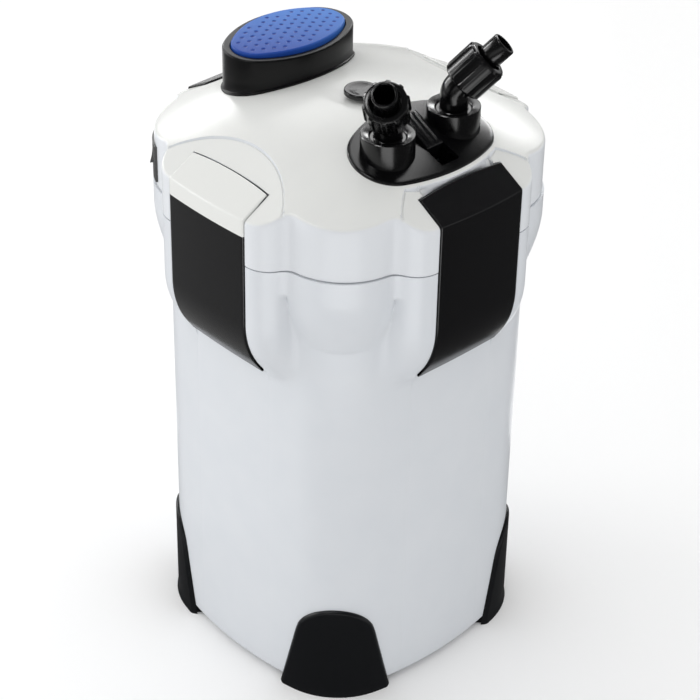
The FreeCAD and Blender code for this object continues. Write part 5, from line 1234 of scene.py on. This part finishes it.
def makeElbow(name, sign, body):
    # rings up the foot, round the bend, out to the stub's mouth and back down the water's way
    angle = around(96)
    low, top, foot, neck, water = [elbow[key] for key in ("footLow", "footTop", "foot", "neck", "water")]
    collar, under, over = [elbow[key] for key in ("collar", "collarLow", "collarHigh")]
    upright = [(water, low), (foot - 0.5, low), (foot, low + 0.5), *ringGroove(foot, elbow["groove"], 12),
               (foot, top - 0.8), (foot - 0.8, top), (neck, top), (neck, under), (collar - 0.4, under),
               (collar, under + 0.4), (collar, over - 0.5), (collar - 0.5, over), (neck + 0.4, over),
               (neck, over + 0.4), (neck, elbow["neckTop"])]
    arm, waist, stub, nutFar, far = [elbow[key] for key in ("armEnd", "waist", "stub", "nutFar", "stubEnd")]
    out = [(arm - 0.5, neck), (arm, neck - 0.5), (arm, waist), (nutFar - 1, waist), (nutFar, stub),
           (far - 1.2, stub)]
    out += [(far - 1.2 + 1.2 * math.sin(a), stub - 1.2 + 1.2 * math.cos(a))
            for a in np.linspace(0.3, 1.3, 4)]
    out += [(far, stub - 1.2), (far, water + 0.3), (far - 0.3, water)]
    rows = [np.stack([-r * np.cos(angle), r * np.sin(angle), z + 0 * angle], -1)
            for r, z in upright + [(water, low)]]
    rows = (rows[:-1] + kneeRings(neck, angle) + [armRing(s, r, angle) for s, r in out]
            + kneeRings(water, angle)[::-1] + rows[-1:])
    piece = makeMesh("elbow" + name, (portPlace(rows, sign), True), sharp=35)
    finishPiece(piece, glossBlack, "elbow_" + body, "elbow_" + name.lower())


def makeNut(name, sign, body):
    # rings along the arm; a rib raises them where the angle is near its own
    angle = around(240)
    step = 2 * math.pi / elbow["ribs"]
    offset = (angle + step / 2) % step - step / 2
    flank = np.clip((elbow["ribHalf"] + 0.5 - np.abs(offset) * elbow["nut"]) / 0.9, 0, 1)
    rib = elbow["rib"] * flank * flank * (3 - 2 * flank)
    near, far, wide, bore, mouth = [elbow[key] for key in ("nutNear", "nutFar", "nut", "bore", "mouth")]
    shoulder, boreEnd = elbow["shoulder"], elbow["boreEnd"]
    profile = [(near, bore + 0.3, 0), *[(near + s, wide + r, share) for s, r, share in shoulder],
               *[(far - s, wide + r, share) for s, r, share in shoulder[::-1]], (far, mouth + 0.4, 0),
               (far - 0.4, mouth, 0), (boreEnd, mouth, 0), (boreEnd, bore, 0), (near + 0.3, bore, 0),
               (near, bore + 0.3, 0)]
    rows = [armRing(s, r + rib * share, angle) for s, r, share in profile]
    piece = makeMesh("nut" + name, (portPlace(rows, sign), True), sharp=40)
    finishPiece(piece, glossBlack, "nut_" + body, "hose_nut_" + name.lower())


# media in the baskets

media = {
    "inset": 9.8, "notch": 51.7, "rounding": 3.5, "crown": 0.8, "outside": 170,
    "blocks": (
        # node, piece, heights, slot, how full it is, times the rounding, times the crown
        ("coarse_sponge", "coarseSponge", 16.1, 93.0, "coarse_foam", 0.9, 1, 1),
        ("fine_sponge", "fineSponge", 101.1, 178.0, "fine_foam", 0.9, 1, 1),
        ("filter_wool", "filterWool", 271.1, 348.0, "wool", 0.5, 2, 4),
    ),
    "ringPitch": 17.2, "ring": [(3.9, -5.5), (7.0, -5.5), (7.0, 5.5), (3.9, 5.5), (3.9, -5.5)],
    "ringLayers": 4, "ringHeights": (186.1, 263.0), "seed": 7,
}


def mediaDistance(p):
    # the baskets' plan, with the pipe's corner cut away
    x, y = p[..., 0], p[..., 1]
    return smoothMax(bulgedSquare(x, y, media["inset"]), np.minimum(x, y) - media["notch"], 3)


def makeMedia():
    # blocks of the baskets' plan, their crown a little domed and their edges rounded
    angle = around(420)
    way = np.stack([np.cos(angle), np.sin(angle), 0 * angle], -1)
    start = way * media["outside"]
    edge = start - way * reach(start, -way, mediaDistance, 90)[:, None]
    out = np.hypot(edge[:, 0], edge[:, 1])
    for node, name, low, high, slot, fill, timesRound, timesCrown in media["blocks"]:
        r, crown = media["rounding"] * timesRound, media["crown"] * timesCrown
        profile = [(share, high - crown * share ** 2, 0) for share in (0, 0.2, 0.4, 0.6, 0.8, 0.93)]
        bevel = [(r - r * math.sin(a), r * (1 - math.cos(a))) for a in quarter(6)]
        profile += [(1, high - crown - depth, drawn) for depth, drawn in bevel[::-1]]
        profile += [(1, low + depth, drawn) for depth, drawn in bevel]
        profile += [(share, low, 0) for share in (0.8, 0.4, 0)]
        rows = [way * ((out - drawn) * share)[:, None] - down * z for share, z, drawn in profile]
        piece = makeMesh(name, (np.stack(rows), True), sharp=60)
        finishPiece(piece, plain[slot], "root", node)


def makeRings():
    # short ceramic tubes in layers, each turned its own way
    dice = np.random.default_rng(media["seed"])
    pitch, layers = media["ringPitch"], media["ringLayers"]
    low, high = media["ringHeights"]
    x, y = np.meshgrid(np.arange(-6, 7) * pitch, np.arange(-6, 7) * pitch)
    places = []
    for layer in range(layers):
        plan = np.stack([x.ravel() + (layer % 2) * pitch / 2, y.ravel()], 1)
        plan = plan[mediaDistance(atHeight(plan, 0)) < -pitch / 2]
        places.append(atHeight(plan, low + (high - low) / layers * (layer + 0.5)))
    places = np.concatenate(places)
    axes = np.linalg.qr(dice.normal(size=(len(places), 3, 3)))[0]
    rings = np.einsum("nij,rsj->nrsi", axes, revolve(media["ring"], count=12)[0]) + places[:, None, None]
    piece = makeMesh("ceramicRings", *[(ring, True) for ring in rings], sharp=40)
    finishPiece(piece, plain["ceramic"], "root", "ceramic_rings")


columns = makeColumns(headDistance)
makeBarrel(columns)
print("barrel")
makeCover(columns)
print("head cover")
makeSpring()
makeHandles()
print("latch handles")
makeFeet()
print("feet")
makeCollar()
makeButton()
print("primer")
makeValveBlock()
makeLever()
print("valve block and lever")
for name, sign, body in (("Intake", 1, "in"), ("Outlet", -1, "out")):
    makeElbow(name, sign, body)
    makeNut(name, sign, body)
print("elbows and nuts")
makeMedia()
makeRings()
print("media")

# the inner pieces keep their own shape and get their finish
for row in frame["record"]["subparts"]:
    for place in frame["nodes"][row["node"]].material_slots:
        place.material = plain[row["material_slot"]]
print("inner pieces")
